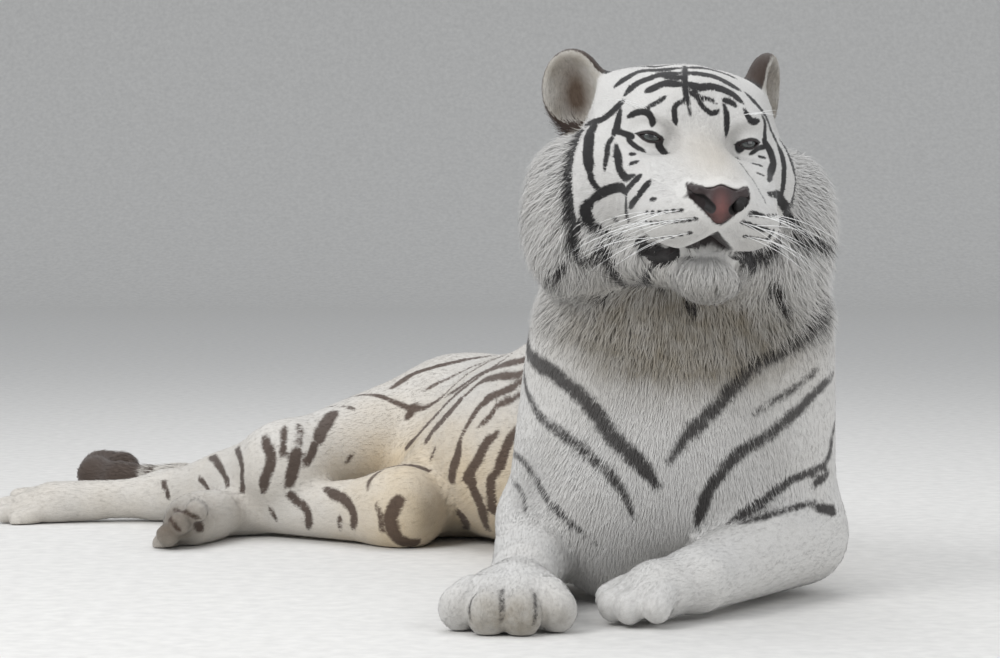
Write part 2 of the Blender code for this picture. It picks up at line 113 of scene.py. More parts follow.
class Blob:
    """An ellipsoid of flesh: half sizes across, along and up its own axes."""

    def __init__(self, at, half, along=(0, 1, 0), up=(0, 0, 1)):
        self.at, self.half, self.axes = np.array(at, float), np.array(half, float), axes(along, up)
        self.lie = self.axes[1]

    def placed(self, turn, to):
        """The same blob in an outer frame."""
        new = Blob(turn.T @ self.at + to, self.half)
        new.axes = self.axes @ turn
        return new

    def distance(self, p):
        reach = np.linalg.norm(p - self.at, axis=1) - self.half.max()
        near = reach < 0.12
        q = (p[near] - self.at) @ self.axes.T
        inner = np.linalg.norm(q / self.half, axis=1)
        outer = np.linalg.norm(q / self.half**2, axis=1) + 1e-9
        reach[near] = inner * (inner - 1) / outer
        return reach


class Bone:
    """A tapered, round-ended limb from a to b; flat presses it along its up axis."""

    def __init__(self, a, b, ra, rb, flat=1.0, up=(0, 0, 1)):
        self.a, self.b, self.ra, self.rb, self.flat = np.array(a, float), np.array(b, float), ra, rb, flat
        self.up = axes(self.b - self.a, up)[2]
        self.lie = unit(self.b - self.a)

    def placed(self, turn, to):
        return Bone(turn.T @ self.a + to, turn.T @ self.b + to, self.ra, self.rb, self.flat, turn.T @ self.up)

    def distance(self, p):
        span = self.b - self.a
        middle, half = (self.a + self.b) / 2, np.linalg.norm(span) / 2
        reach = np.linalg.norm(p - middle, axis=1) - half - max(self.ra, self.rb)
        near = reach < 0.12
        q = p[near] - self.a
        t = np.clip(q @ span / (span @ span), 0, 1)
        q = q - t[:, None] * span
        q = q + np.outer(q @ self.up, self.up) * (1 / self.flat - 1)
        reach[near] = (np.linalg.norm(q, axis=1) - (self.ra + (self.rb - self.ra) * t)) * min(1, self.flat)
        return reach


class Group:
    """Masses that melt together by k."""

    def __init__(self, k, *masses):
        self.k, self.masses = k, list(masses)

    def distance(self, p):
        d = self.masses[0].distance(p)
        for mass in self.masses[1:]:
            d = melt(d, mass.distance(p), self.k)
        return d


# ---- the body's form, out to the tips of the coat ----

TORSO = Group(
    0.07,
    Blob((0.235, 0.10, 0.245), (0.155, 0.20, 0.205)),  # chest
    Blob((0.235, -0.03, 0.215), (0.125, 0.10, 0.165)),  # breast
    Blob((0.205, 0.36, 0.210), (0.160, 0.25, 0.185), (-0.17, 1, 0)),  # ribs
    Blob((0.150, -0.02, 0.130), (0.105, 0.10, 0.130)),  # brisket
    Blob((0.235, 0.17, 0.390), (0.090, 0.17, 0.080)),  # withers
    Blob((0.130, 0.62, 0.180), (0.155, 0.23, 0.160), (-0.32, 1, 0)),  # waist
    Blob((0.010, 0.70, 0.120), (0.125, 0.20, 0.120), (-0.30, 1, 0)),  # belly
    Blob((0.045, 0.84, 0.150), (0.145, 0.21, 0.140), (-0.40, 1, 0)),  # loin
    Blob((-0.010, 1.03, 0.140), (0.150, 0.19, 0.132), (-0.25, 1, 0)),  # hips
    Blob((-0.020, 1.17, 0.125), (0.100, 0.10, 0.095)),  # rump
)
NECK = Group(
    0.06,
    Bone((0.235, 0.13, 0.350), (0.225, -0.03, 0.530), 0.150, 0.125),
    Blob((0.238, -0.045, 0.420), (0.176, 0.10, 0.115)),  # throat ruff
)


def head_frame():
    """Rows: the head's left, back and up in the outer frame."""
    turn = np.array(Matrix.Rotation(HEAD_TURN, 3, "Z") @ Matrix.Rotation(HEAD_LEAN, 3, "Y"))
    return turn.T


HEAD = head_frame()


def in_head(*points):
    """Points of the head's own frame, in the outer frame."""
    return [HEAD.T @ np.array(point, float) + HEAD_AT for point in points]


def to_head(p):
    """Points of the outer frame, in the head's own."""
    return (p - HEAD_AT) @ HEAD.T


def both(*masses):
    """Each mass and its mirror image across the head's middle plane."""
    for mass in masses:
        for side in (1, -1):
            flip = np.array([side, 1, 1])
            if isinstance(mass, Blob):
                new = Blob(mass.at * flip, mass.half)
                new.axes = mass.axes * flip * np.array([[side], [1], [1]])
            else:
                new = Bone(mass.a * flip, mass.b * flip, mass.ra, mass.rb, mass.flat, mass.up * flip)
            yield new


def placed_in_head(masses):
    return [mass.placed(HEAD, HEAD_AT) for mass in masses]


def beside_nose(*masses):
    """Masses given from the nose's middle plane, in the outer frame."""
    return [mass.placed(HEAD, in_head((NOSE_SIDE, 0, 0))[0]) for mass in masses]


SKULL = Group(0.035, *placed_in_head([
    Blob((0, 0.100, 0.014), (0.098, 0.112, 0.085)),  # skull
    Blob((0, 0.050, 0.040), (0.074, 0.062, 0.048)),  # forehead
    Bone((0, 0.010, -0.007), (0, -0.106, -0.075), 0.036, 0.031, 0.85),  # bridge of the nose
    *both(
        Blob((0.068, 0.115, 0.038), (0.056, 0.085, 0.050)),  # side of the crown
        Blob((0.055, 0.020, 0.026), (0.034, 0.036, 0.019)),  # brow
        Blob((0.085, 0.070, -0.040), (0.056, 0.080, 0.058)),  # cheek
        Blob((0.052, 0.005, -0.066), (0.042, 0.072, 0.046), (-0.35, 1, 0)),  # under the eye
    ),
]))
MUZZLE = Group(0.012, *placed_in_head([
    Blob((-0.002, -0.045, -0.082), (0.064, 0.088, 0.044)),  # upper jaw
    Blob((0.007, -0.054, -0.168), (0.047, 0.042, 0.035)),  # chin
    *both(
        Blob((0.042, -0.083, -0.101), (0.044, 0.050, 0.036), (0.25, 1, 0)),  # whisker pad
        Bone((0.022, -0.025, -0.158), (0.085, 0.085, -0.134), 0.030, 0.050),  # jaw
    ),
]))
NOSE = Group(0.010, *placed_in_head([
    Blob((NOSE_SIDE, -0.128, -0.070), (0.033, 0.015, 0.015)),
    Blob((NOSE_SIDE, -0.130, -0.082), (0.019, 0.012, 0.018)),
]))
CHIN = MUZZLE.masses[1:2] + MUZZLE.masses[4:]
RUFF = Group(0.04, *placed_in_head([
    Blob((0.151, 0.110, -0.104), (0.074, 0.080, 0.116), (0.3, 1, 0)),  # left cheek's ruff
    Blob((-0.128, 0.112, -0.098), (0.068, 0.078, 0.114), (-0.3, 1, 0)),  # right cheek's ruff
]))
SOCKETS = Group(0.001, *placed_in_head(both(
    Blob((0.062, -0.012, -0.001), (0.026, 0.022, 0.015), (-0.35, 1, 0), (-0.15, 0, 1)),
)))


def head_form(p):
    d = melt(SKULL.distance(p), MUZZLE.distance(p), 0.045)
    d = melt(d, RUFF.distance(p), 0.060)
    d = melt(d, NOSE.distance(p), 0.006)
    return carve(d, SOCKETS.distance(p), 0.016)


TOE_MELT = 0.009


def paw(wrist, tip, width, height, up=(0, 0, 1)):
    """A palm and four toes that fan a little, the outer two shorter."""
    wrist, tip = np.array(wrist, float), np.array(tip, float)
    across, along, over = axes(tip - wrist, up)
    length = np.linalg.norm(tip - wrist)
    palm = wrist + along * length * 0.45
    masses = [
        Bone(wrist, palm, height * 0.44, height * 0.50, 1.0, up),
        Blob(palm, (width * 0.40, length * 0.37, height * 0.45), along, up),
    ]
    toe = width * 0.160
    for spread in (-0.38, -0.13, 0.13, 0.38):
        shorter = 0.14 * (abs(spread) > 0.3)
        root = palm + across * width * spread * 0.8 + along * length * 0.15
        end = wrist + along * (length * (1 - shorter) - toe) + across * width * spread - over * height * 0.10
        masses.append(Bone(root, end, toe * 1.05, toe * 1.08, 1.15, up))
    return masses


class Leg:
    """A limb's masses, and how far from its root it starts and ends melting into the trunk."""

    def __init__(self, root, near, far, k, limb, foot):
        self.root, self.near, self.far = np.array(root, float), near, far
        self.limb, self.foot = Group(k, *limb), Group(TOE_MELT, *foot)

    def joined(self, d, p):
        share = ramp(self.near, self.far, np.linalg.norm(p - self.root, axis=1))
        leg = melt(self.limb.distance(p), self.foot.distance(p), 0.02)
        return melt(d, leg, 0.07 + (0.018 - 0.07) * share)


LEGS = [
    Leg(
        (0.13, 0.06, 0.32), 0.20, 0.30, 0.035,  # right foreleg
        [
            Blob((0.125, 0.08, 0.305), (0.080, 0.145, 0.145), (0, 1, 0.35)),
            Bone((0.120, -0.02, 0.320), (0.075, 0.11, 0.105), 0.085, 0.068),
            Blob((0.095, 0.16, 0.190), (0.062, 0.09, 0.120)),
            Bone((0.062, 0.11, 0.085), (0.030, -0.16, 0.050), 0.068, 0.044),
        ],
        paw((0.030, -0.16, 0.050), (0.002, -0.365, 0.030), 0.158, 0.080),
    ),
    Leg(
        (0.35, 0.06, 0.32), 0.20, 0.30, 0.035,  # left foreleg
        [
            Blob((0.355, 0.08, 0.305), (0.082, 0.145, 0.145), (0, 1, 0.35)),
            Bone((0.350, -0.02, 0.320), (0.390, 0.09, 0.105), 0.088, 0.068),
            Blob((0.375, 0.15, 0.200), (0.070, 0.09, 0.120)),
            Bone((0.400, 0.05, 0.078), (0.248, -0.195, 0.050), 0.068, 0.044),
        ],
        paw((0.248, -0.195, 0.050), (0.132, -0.278, 0.030), 0.120, 0.080),
    ),
    Leg(
        (-0.08, 1.03, 0.15), 0.18, 0.32, 0.045,  # right hind leg
        [
            Bone((-0.090, 1.03, 0.150), (-0.335, 0.76, 0.110), 0.115, 0.068),
            Bone((-0.100, 1.14, 0.125), (-0.420, 0.93, 0.080), 0.085, 0.045),
            Blob((-0.220, 0.940, 0.110), (0.150, 0.130, 0.070)),
            Bone((-0.340, 0.76, 0.110), (-0.555, 1.00, 0.045), 0.066, 0.034),
            Bone((-0.555, 1.00, 0.040), (-0.740, 0.985, 0.034), 0.036, 0.032),
        ],
        paw((-0.680, 0.985, 0.034), (-0.835, 0.965, 0.026), 0.095, 0.062, (0, -0.5, 1)),
    ),
    Leg(
        (0.0, 0.93, 0.11), 0.18, 0.30, 0.045,  # left hind leg
        [
            Bone((0.000, 0.95, 0.100), (-0.150, 0.63, 0.058), 0.105, 0.057),
            Bone((-0.150, 0.62, 0.056), (-0.415, 0.80, 0.038), 0.057, 0.033),
            Bone((-0.415, 0.80, 0.036), (-0.465, 0.68, 0.038), 0.036, 0.038),
        ],
        paw((-0.450, 0.71, 0.040), (-0.508, 0.555, 0.036), 0.102, 0.084, (-0.7, 0, 0.7)),
    ),
]
TAIL_PATH = [
    (-0.020, 1.20, 0.120), (-0.090, 1.33, 0.060), (-0.230, 1.39, 0.038), (-0.420, 1.40, 0.034),
    (-0.580, 1.41, 0.032), (-0.690, 1.44, 0.032), (-0.745, 1.50, 0.034), (-0.742, 1.56, 0.037),
    (-0.705, 1.58, 0.038),
]
TAIL_RADII = (0.055, 0.038, 0.033, 0.031, 0.030, 0.030, 0.032, 0.036, 0.036)
TAIL = Group(
    0.02,
    *[Bone(*TAIL_PATH[i:i + 2], *TAIL_RADII[i:i + 2]) for i in range(len(TAIL_PATH) - 1)],
)
EAR_AT = {1: (0.123, 0.140, 0.072), -1: (-0.130, 0.140, 0.057)}  # of the left ear, and of the right
EAR_HALF = (0.046, 0.028, 0.058)
EAR_LEAN = {1: 0.78, -1: 0.30}  # outwards, to 1 upwards


def ears(side):
    """An ear's outer form and the hollow in front of it, in the outer frame."""
    out = np.array([side * math.sin(EAR_TURN[side]), -math.cos(EAR_TURN[side]), 0])
    lean = np.array([side * EAR_LEAN[side], 0.05, 1])
    at = np.array(EAR_AT[side])
    shell = Blob(at, EAR_HALF, out, lean)
    hollow = Blob(at + out * 0.033 + np.array([0, 0, 0.001]), (0.040, 0.037, 0.052), out, lean)
    return placed_in_head([shell, hollow])


EARS = {side: ears(side) for side in (1, -1)}


def with_ears(d, p):
    for shell, hollow in EARS.values():
        d = melt(d, shell.distance(p), 0.02)
        d = carve(d, hollow.distance(p), 0.008)
    return d


def form(p):
    """Signed distance to the coat of the whole tiger, about right near its surface."""
    d = melt(TORSO.distance(p), NECK.distance(p), 0.08)
    d = melt(d, head_form(p), 0.04)
    for leg in LEGS:
        d = leg.joined(d, p)
    d = melt(d, TAIL.distance(p), 0.04)
    return with_ears(d, p)


# ---- how the coat grows ----

EAR_SHELLS = [shell for shell, _ in EARS.values()]
HEAD_MIDDLE = np.array((0, 0.12, -0.06))  # directions on the face are taken from here
RUFF_STARTS, RUFF_SIDE = (55, 67), 4  # degrees of turn, and how far both sides are shifted to the right
NOSE_TIP = in_head((NOSE_SIDE, -0.14, -0.060))[0]
DOWN = np.array((0.0, 0.0, -1.0))


def from_nose(p):
    """Over the face the hair lies away from the nose."""
    return units(p - NOSE_TIP)


def from_cheek(p):
    """In the ruff it lies outwards, back and down."""
    middle = in_head((0, -0.02, 0.05))[0]
    return units(units(p - middle) + DOWN * 0.35)


def down_chin(p):
    """From the chin it hangs down and a little to the sides."""
    side = np.clip(to_head(p)[:, :1] * 6.0, -0.4, 0.4)
    return units(np.concatenate([side, 0 * side - 0.15, 0 * side - 1], axis=1))


def down_breast(p):
    """Under the throat and on the breast it falls, and parts a little to the sides."""
    side = np.clip((p[:, :1] - 0.24) * 2.0, -0.5, 0.5)
    return units(np.concatenate([side, 0 * side + 0.35, 0 * side - 1], axis=1))


def up_ear(p):
    return np.tile(HEAD[2] + HEAD[1] * 0.3, (len(p), 1))


def past_cheek(p):
    """0 on the short-haired cheek, 1 in the ruff round and under it."""
    q = to_head(p) - HEAD_MIDDLE
    turn = np.degrees(np.arctan2(q[:, 0], -q[:, 1])) + RUFF_SIDE
    rise = np.degrees(np.arcsin(q[:, 2] / (np.linalg.norm(q, axis=1) + 1e-9)))
    return np.maximum(ramp(RUFF_STARTS[0], RUFF_STARTS[1], np.abs(turn)), ramp(-30, -40, rise))


class Coat:
    """Hair of one kind, on a group of masses.

    depth is from the skin to the tips, cover how many tufts lie over any one spot, lie which way it grows
    at given points, and where how much of it they carry; without these it follows its masses, everywhere.
    """

    def __init__(self, name, masses, depth, length, width, cover, lie=None, where=None):
        self.name, self.masses = name, masses
        self.sizes, self.lie, self.where = np.array([depth, length, width, cover]), lie, where


COATS = [
    Coat("face", SKULL.masses, 0.0024, 0.0085, 0.0011, 1.35, from_nose),
    Coat("muzzle", MUZZLE.masses[:1] + MUZZLE.masses[2:4], 0.0024, 0.0075, 0.0012, 1.4, from_nose),
    Coat("chin", CHIN, 0.009, 0.036, 0.0014, 4.5, down_chin),
    Coat("ruff", RUFF.masses, 0.026, 0.052, 0.0014, 5.5, from_cheek, past_cheek),
    Coat("ears", EAR_SHELLS, 0.002, 0.010, 0.0012, 1.5, up_ear),
    Coat("neck", NECK.masses, 0.014, 0.042, 0.0015, 3.6, down_breast),
    Coat("breast", TORSO.masses[:2] + TORSO.masses[3:5], 0.005, 0.020, 0.0014, 2.0, down_breast),
    Coat("trunk", TORSO.masses[2:3] + TORSO.masses[5:], 0.0035, 0.018, 0.0014, 0.55),
    Coat("limbs", [mass for leg in LEGS for mass in leg.limb.masses], 0.0025, 0.014, 0.0013, 0.35),
    Coat("feet", [mass for leg in LEGS for mass in leg.foot.masses], 0.0025, 0.010, 0.0013, 0.65),
    Coat("tail", TAIL.masses, 0.006, 0.024, 0.0020, 1.3),
]
COAT_REACH = 0.014  # how far one kind of hair runs into the next
EYE_AT = {side: in_head((side * EYE_GAP / 2, EYE_BACK, 0))[0] for side in (1, -1)}
LIP_ACROSS = (0.0, 0.012, 0.024, 0.036, 0.050, 0.070)
LIP_HEIGHT = (-0.1165, -0.1255, -0.1335, -0.1415, -0.1435, -0.1395)
LOWER_LIP = -0.1345


def lips(p):
    """Below 0 at the heights of the gap between the lips, which opens to a triangle under the nose."""
    q = to_head(p)
    across = np.abs(q[:, 0] - NOSE_SIDE * 0.7)
    height = np.interp(across, LIP_ACROSS, LIP_HEIGHT)
    foot = np.minimum(height - 0.0030, np.where(across < 0.021, LOWER_LIP, height))
    ends = (across - 0.072) * 0.4
    return np.max([q[:, 2] - height - 0.0024, foot - q[:, 2], ends, q[:, 1] + 0.015], axis=0)


def nose_outline(p):
    """Below 0 in the block of the face that the nose leather covers."""
    q = to_head(p)
    across = np.abs(q[:, 0] - NOSE_SIDE)
    top = q[:, 2] + 0.0600 - 0.0025 * np.cos(across * 180)
    sides = across - 0.0378 + np.clip(-0.0745 - q[:, 2], 0, 1) * 1.08
    return np.max([top, sides, q[:, 1] + 0.112, -0.1055 - q[:, 2]], axis=0)


def thinness(p):
    """How much of its full coat a place carries: 0 at lids, lips and nose."""
    eyes = np.min([np.linalg.norm(p - at, axis=1) for at in EYE_AT.values()], axis=0) - 0.024
    return ramp(0.0, 0.012, np.min([eyes, lips(p), nose_outline(p)], axis=0))


def growth(p):
    """At each point: sizes (depth, length, width, cover), the lie, and which coat it is most."""
    sizes, lies = np.zeros((len(p), 4)), np.zeros((len(p), 3))
    total, most, kind = np.zeros(len(p)), np.zeros(len(p)), np.zeros(len(p), int)
    for index, coat in enumerate(COATS):
        share = np.zeros(len(p))
        own_lie = np.zeros((len(p), 3))
        for mass in coat.masses:
            weight = np.exp(-np.clip(mass.distance(p) / COAT_REACH, -1.5, 30))
            share += weight
            own_lie += weight[:, None] * mass.lie
        if coat.where:
            share *= coat.where(p)
        if coat.lie:
            own_lie = coat.lie(p) * share[:, None]
        sizes += share[:, None] * coat.sizes
        lies += own_lie
        total += share
        kind[share > most] = index
        most = np.maximum(most, share)
    sizes /= total[:, None]
    full = thinness(p)
    sizes[:, 0] *= full
    sizes[:, 1] *= 0.45 + 0.55 * full
    return sizes, units(lies), kind


# ---- the fine forms of the face ----

GAZE_OUT = math.radians(9)  # of each eye, from straight ahead
LID = 0.0026  # thickness of a lid
EYE_SLANT = math.radians(9)  # the outer corner higher


def eye_axes(side):
    """Rows: an eye's outwards, back and up axes in the outer frame; outwards is away from the nose."""
    turn = side * GAZE_OUT
    out = np.array([math.cos(turn), math.sin(turn), 0]) * side
    back = np.array([-math.sin(turn), math.cos(turn), 0])
    up = np.array([0, 0, 1])
    level, steep = math.cos(EYE_SLANT), math.sin(EYE_SLANT)
    return np.stack([out * level + up * steep, back, up * level - out * steep]) @ HEAD


LID_HALF = 0.0140  # of the opening's width
LID_UP, LID_DOWN = 0.0038, 0.0048  # how far it opens over and under the line between its corners
UPPER_RIM, LOWER_RIM = 0.0042, 0.0026  # of dark skin and fur round the lids
LID_AT = (0.0007, -0.0010)


def lid_opening(p, side):
    """Below 0 inside the slit between an eye's lids, as seen along its gaze."""
    q = (p - EYE_AT[side]) @ eye_axes(side).T
    arch = 1 - np.clip((q[:, 0] - LID_AT[0]) / LID_HALF, -1.6, 1.6) ** 2
    up = q[:, 2] - LID_AT[1]
    return np.maximum(up - LID_UP * arch, -LID_DOWN * arch - up), q


def tear_line(p, side):
    """Distance to the groove that runs from an eye's inner corner towards the nose."""
    start = EYE_AT[side] + eye_axes(side).T @ np.array((-0.012, -0.019, -0.003))
    end = EYE_AT[side] + eye_axes(side).T @ np.array((-0.0225, -0.027, -0.0180))
    return Bone(start, end, 0.0055, 0.0042).distance(p)


CORNERS = Group(0.004, *placed_in_head(both(
    Blob((0.062, -0.045, -0.152), (0.018, 0.026, 0.0090), (0.55, 1, 0)),
)))
PHILTRUM = Group(0.001, *beside_nose(Bone((0, -0.146, -0.104), (0.001, -0.140, -0.116), 0.0028, 0.0030)))


def lidded_form(p):
    """The tiger's form, with closed lids over its eyes."""
    d = form(p)
    for at in EYE_AT.values():
        d = melt(d, np.linalg.norm(p - at, axis=1) - EYE_RADIUS - LID, 0.008)
    return d


def fine_form(p):
    """The form with the fine forms of the face."""
    d = lidded_form(p)
    for side in (1, -1):
        d = carve(d, tear_line(p, side) + 0.003, 0.003)
    gap = np.maximum(lips(p), -d - 0.006)
    d = carve(d, gap, 0.003)
    d = carve(d, CORNERS.distance(p), 0.008)
    d = carve(d, np.maximum(nose_outline(p) + 0.002, -d - 0.005), 0.003)
    return carve(d, PHILTRUM.distance(p), 0.003)


# ---- meshes ----


def place_of_body():
    """From the body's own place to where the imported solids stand."""
    low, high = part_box("eye_left")
    return (np.array(low) + np.array(high)) / 2 - EYE_AT[1]


HOME = place_of_body()


def new_object(name, mesh):
    thing = bpy.data.objects.new(name, mesh)
    bpy.context.scene.collection.objects.link(thing)
    return thing


def object_from(name, bm):
    mesh = bpy.data.meshes.new(name)
    bm.to_mesh(mesh)
    bm.free()
    return new_object(name, mesh)


def points_of(mesh):
    co = np.empty(len(mesh.vertices) * 3, np.float32)
    mesh.vertices.foreach_get("co", co)
    return co.reshape(-1, 3).astype(float)


def set_points(mesh, p):
    mesh.vertices.foreach_set("co", p.astype(np.float32).ravel())
    mesh.update()


def remesh(thing, voxel):
    """The outer surface of all the closed shells in an object."""
    bpy.context.view_layer.objects.active = thing
    thing.data.remesh_voxel_size = voxel
    thing.data.remesh_voxel_adaptivity = 0
    bpy.ops.object.voxel_remesh()


SLOPE_STEP = 0.0005  # from a point to where its slope is felt
LONGEST_STEP = 0.009  # that settling moves a vertex at once
SKIN_CLEAR, TUFT_CLEAR = 0.002, 0.0006  # lowest skin and lowest hair, over the floor


def slopes(field, p):
    """The field's value and its unit slope at each point."""
    corners = np.array([(1, 1, 1), (1, -1, -1), (-1, 1, -1), (-1, -1, 1)]) * SLOPE_STEP
    values = [field(p + corner) for corner in corners]
    slope = sum(np.outer(value, corner) for value, corner in zip(values, corners))
    return np.mean(values, axis=0), units(slope)


def settle(mesh, field, steps, relax, chosen=None, coated=True):
    """Moves the chosen vertices onto the field, or the coat's depth inside it, and evens them out."""
    p = points_of(mesh)
    edges = np.empty(len(mesh.edges) * 2, np.int32)
    mesh.edges.foreach_get("vertices", edges)
    edges = edges.reshape(-1, 2)
    degree = np.bincount(edges.ravel(), minlength=len(p))[:, None]
    chosen = np.arange(len(p)) if chosen is None else np.flatnonzero(chosen(p))
    depth = growth(p[chosen])[0][:, 0] if coated else 0
    for _ in range(steps):
        value, slope = slopes(field, p[chosen])
        p[chosen] -= slope * np.clip(value + depth, -LONGEST_STEP, LONGEST_STEP)[:, None]
        around = np.stack([np.bincount(edges[:, 0], p[edges[:, 1], i], len(p))
                           + np.bincount(edges[:, 1], p[edges[:, 0], i], len(p)) for i in range(3)], 1)
        drift = (around / degree - p)[chosen]
        drift -= slope * (drift * slope).sum(1)[:, None]
        p[chosen] += drift * relax
    p[:, 2] = np.maximum(p[:, 2], SKIN_CLEAR)
    set_points(mesh, p)


def refine(thing, inside):
    """Halves the mesh's edges where inside(points) holds."""
    bm = bmesh.new()
    bm.from_mesh(thing.data)
    chosen = inside(points_of(thing.data))
    bm.verts.ensure_lookup_table()
    edges = [edge for edge in bm.edges if chosen[edge.verts[0].index] and chosen[edge.verts[1].index]]
    bmesh.ops.subdivide_edges(bm, edges=edges, cuts=1, use_grid_fill=True)
    bm.to_mesh(thing.data)
    bm.free()


def set_attribute(mesh, name, values):
    """A number for each vertex."""
    attribute = mesh.attributes.new(name, "FLOAT", "POINT")
    attribute.data.foreach_set("value", np.asarray(values, np.float32))


def brought_home(thing, slot, *nodes):
    """Moves a finished piece to where the solids stand, hangs it from the body's root, and hides the solids
    it stands for.
    """
    thing.data.transform(Matrix.Translation(HOME))
    thing.data.update()
    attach(thing, "root")
    if nodes:
        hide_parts(*nodes)


# ---- markings ----

HALF_MM = 0.00058  # half of a width in mm, and a little for its soft edge
MARK_REACH = 0.02  # how far from a mark its distance is worked out
MARK_BREAK = 0.08  # places of a mark further apart than this aren't joined
OUTSIDE = 0.6  # from a long part's middle line to where its places are looked for from


class Round:
    """Places on the head: degrees of turn to its left, and of rise, seen from its middle."""

    def ray(self, turn, rise):
        turn, rise = math.radians(turn), math.radians(rise)
        way = np.array([math.sin(turn) * math.cos(rise), -math.cos(turn) * math.cos(rise), math.sin(rise)])
        return in_head(HEAD_MIDDLE)[0], HEAD.T @ way


class Along:
    """Places on a long part: metres along its middle line, and degrees round it from its top to its left."""

    def __init__(self, path, tops):
        self.path, self.tops = np.array(path, float), np.array(tops, float)
        self.reach = np.concatenate([[0], np.cumsum(np.linalg.norm(np.diff(self.path, axis=0), axis=1))])

    def ray(self, far, angle):
        span = int(np.clip(np.searchsorted(self.reach, far) - 1, 0, len(self.path) - 2))
        share = (far - self.reach[span]) / (self.reach[span + 1] - self.reach[span])
        ahead = unit(self.path[span + 1] - self.path[span])
        at = self.path[span] + (self.path[span + 1] - self.path[span]) * share
        top = self.tops[span] + (self.tops[span + 1] - self.tops[span]) * share
        top = unit(top - ahead * (top @ ahead))
        angle = math.radians(angle)
        return at, top * math.cos(angle) + np.cross(ahead, top) * math.sin(angle)


FACE = Round()
BREAST = Along([(0.235, 0.10, 0), (0.235, 0.10, 0.6)], [(0, -1, 0)] * 2)
TRUNK = Along(
    [(0.235, 0, 0.22), (0.205, 0.36, 0.205), (0.13, 0.62, 0.175), (0.045, 0.84, 0.15), (-0.01, 1.03, 0.14),
     (-0.02, 1.2, 0.12)],
    [(0, 0, 1), (0.1, 0, 1), (0.35, 0.1, 0.93), (0.55, 0.15, 0.8), (0.75, 0.2, 0.6), (0.75, 0.2, 0.6)])
NAPE = Along([(0.225, -0.12, 0.56), (0.235, 0.02, 0.45), (0.235, 0.20, 0.33)], [(0, 0.3, 1)] * 3)
FORELEGS = {
    "right": Along([(0.115, 0.06, 0.36), (0.075, 0.11, 0.105), (0.030, -0.16, 0.050)],
                   [(0, -1, 0), (0, -0.5, 0.5), (0, 0, 1)]),
    "left": Along([(0.365, 0.06, 0.36), (0.395, 0.07, 0.09), (0.235, -0.20, 0.050)],
                  [(0, -1, 0), (0, -0.5, 0.5), (0, 0, 1)]),
}
HINDLEGS = {
    "right": Along([(-0.09, 1.05, 0.13), (-0.30, 0.86, 0.09), (-0.555, 1.00, 0.045), (-0.80, 0.97, 0.03)],
                   [(0, 0, 1)] * 4),
    "left": Along([(0.0, 0.95, 0.10), (-0.15, 0.62, 0.065), (-0.415, 0.80, 0.038), (-0.51, 0.55, 0.032)],
                  [(0, 0, 1)] * 4),
}
TAILWAY = Along(TAIL_PATH, [(0, 0, 1)] * len(TAIL_PATH))

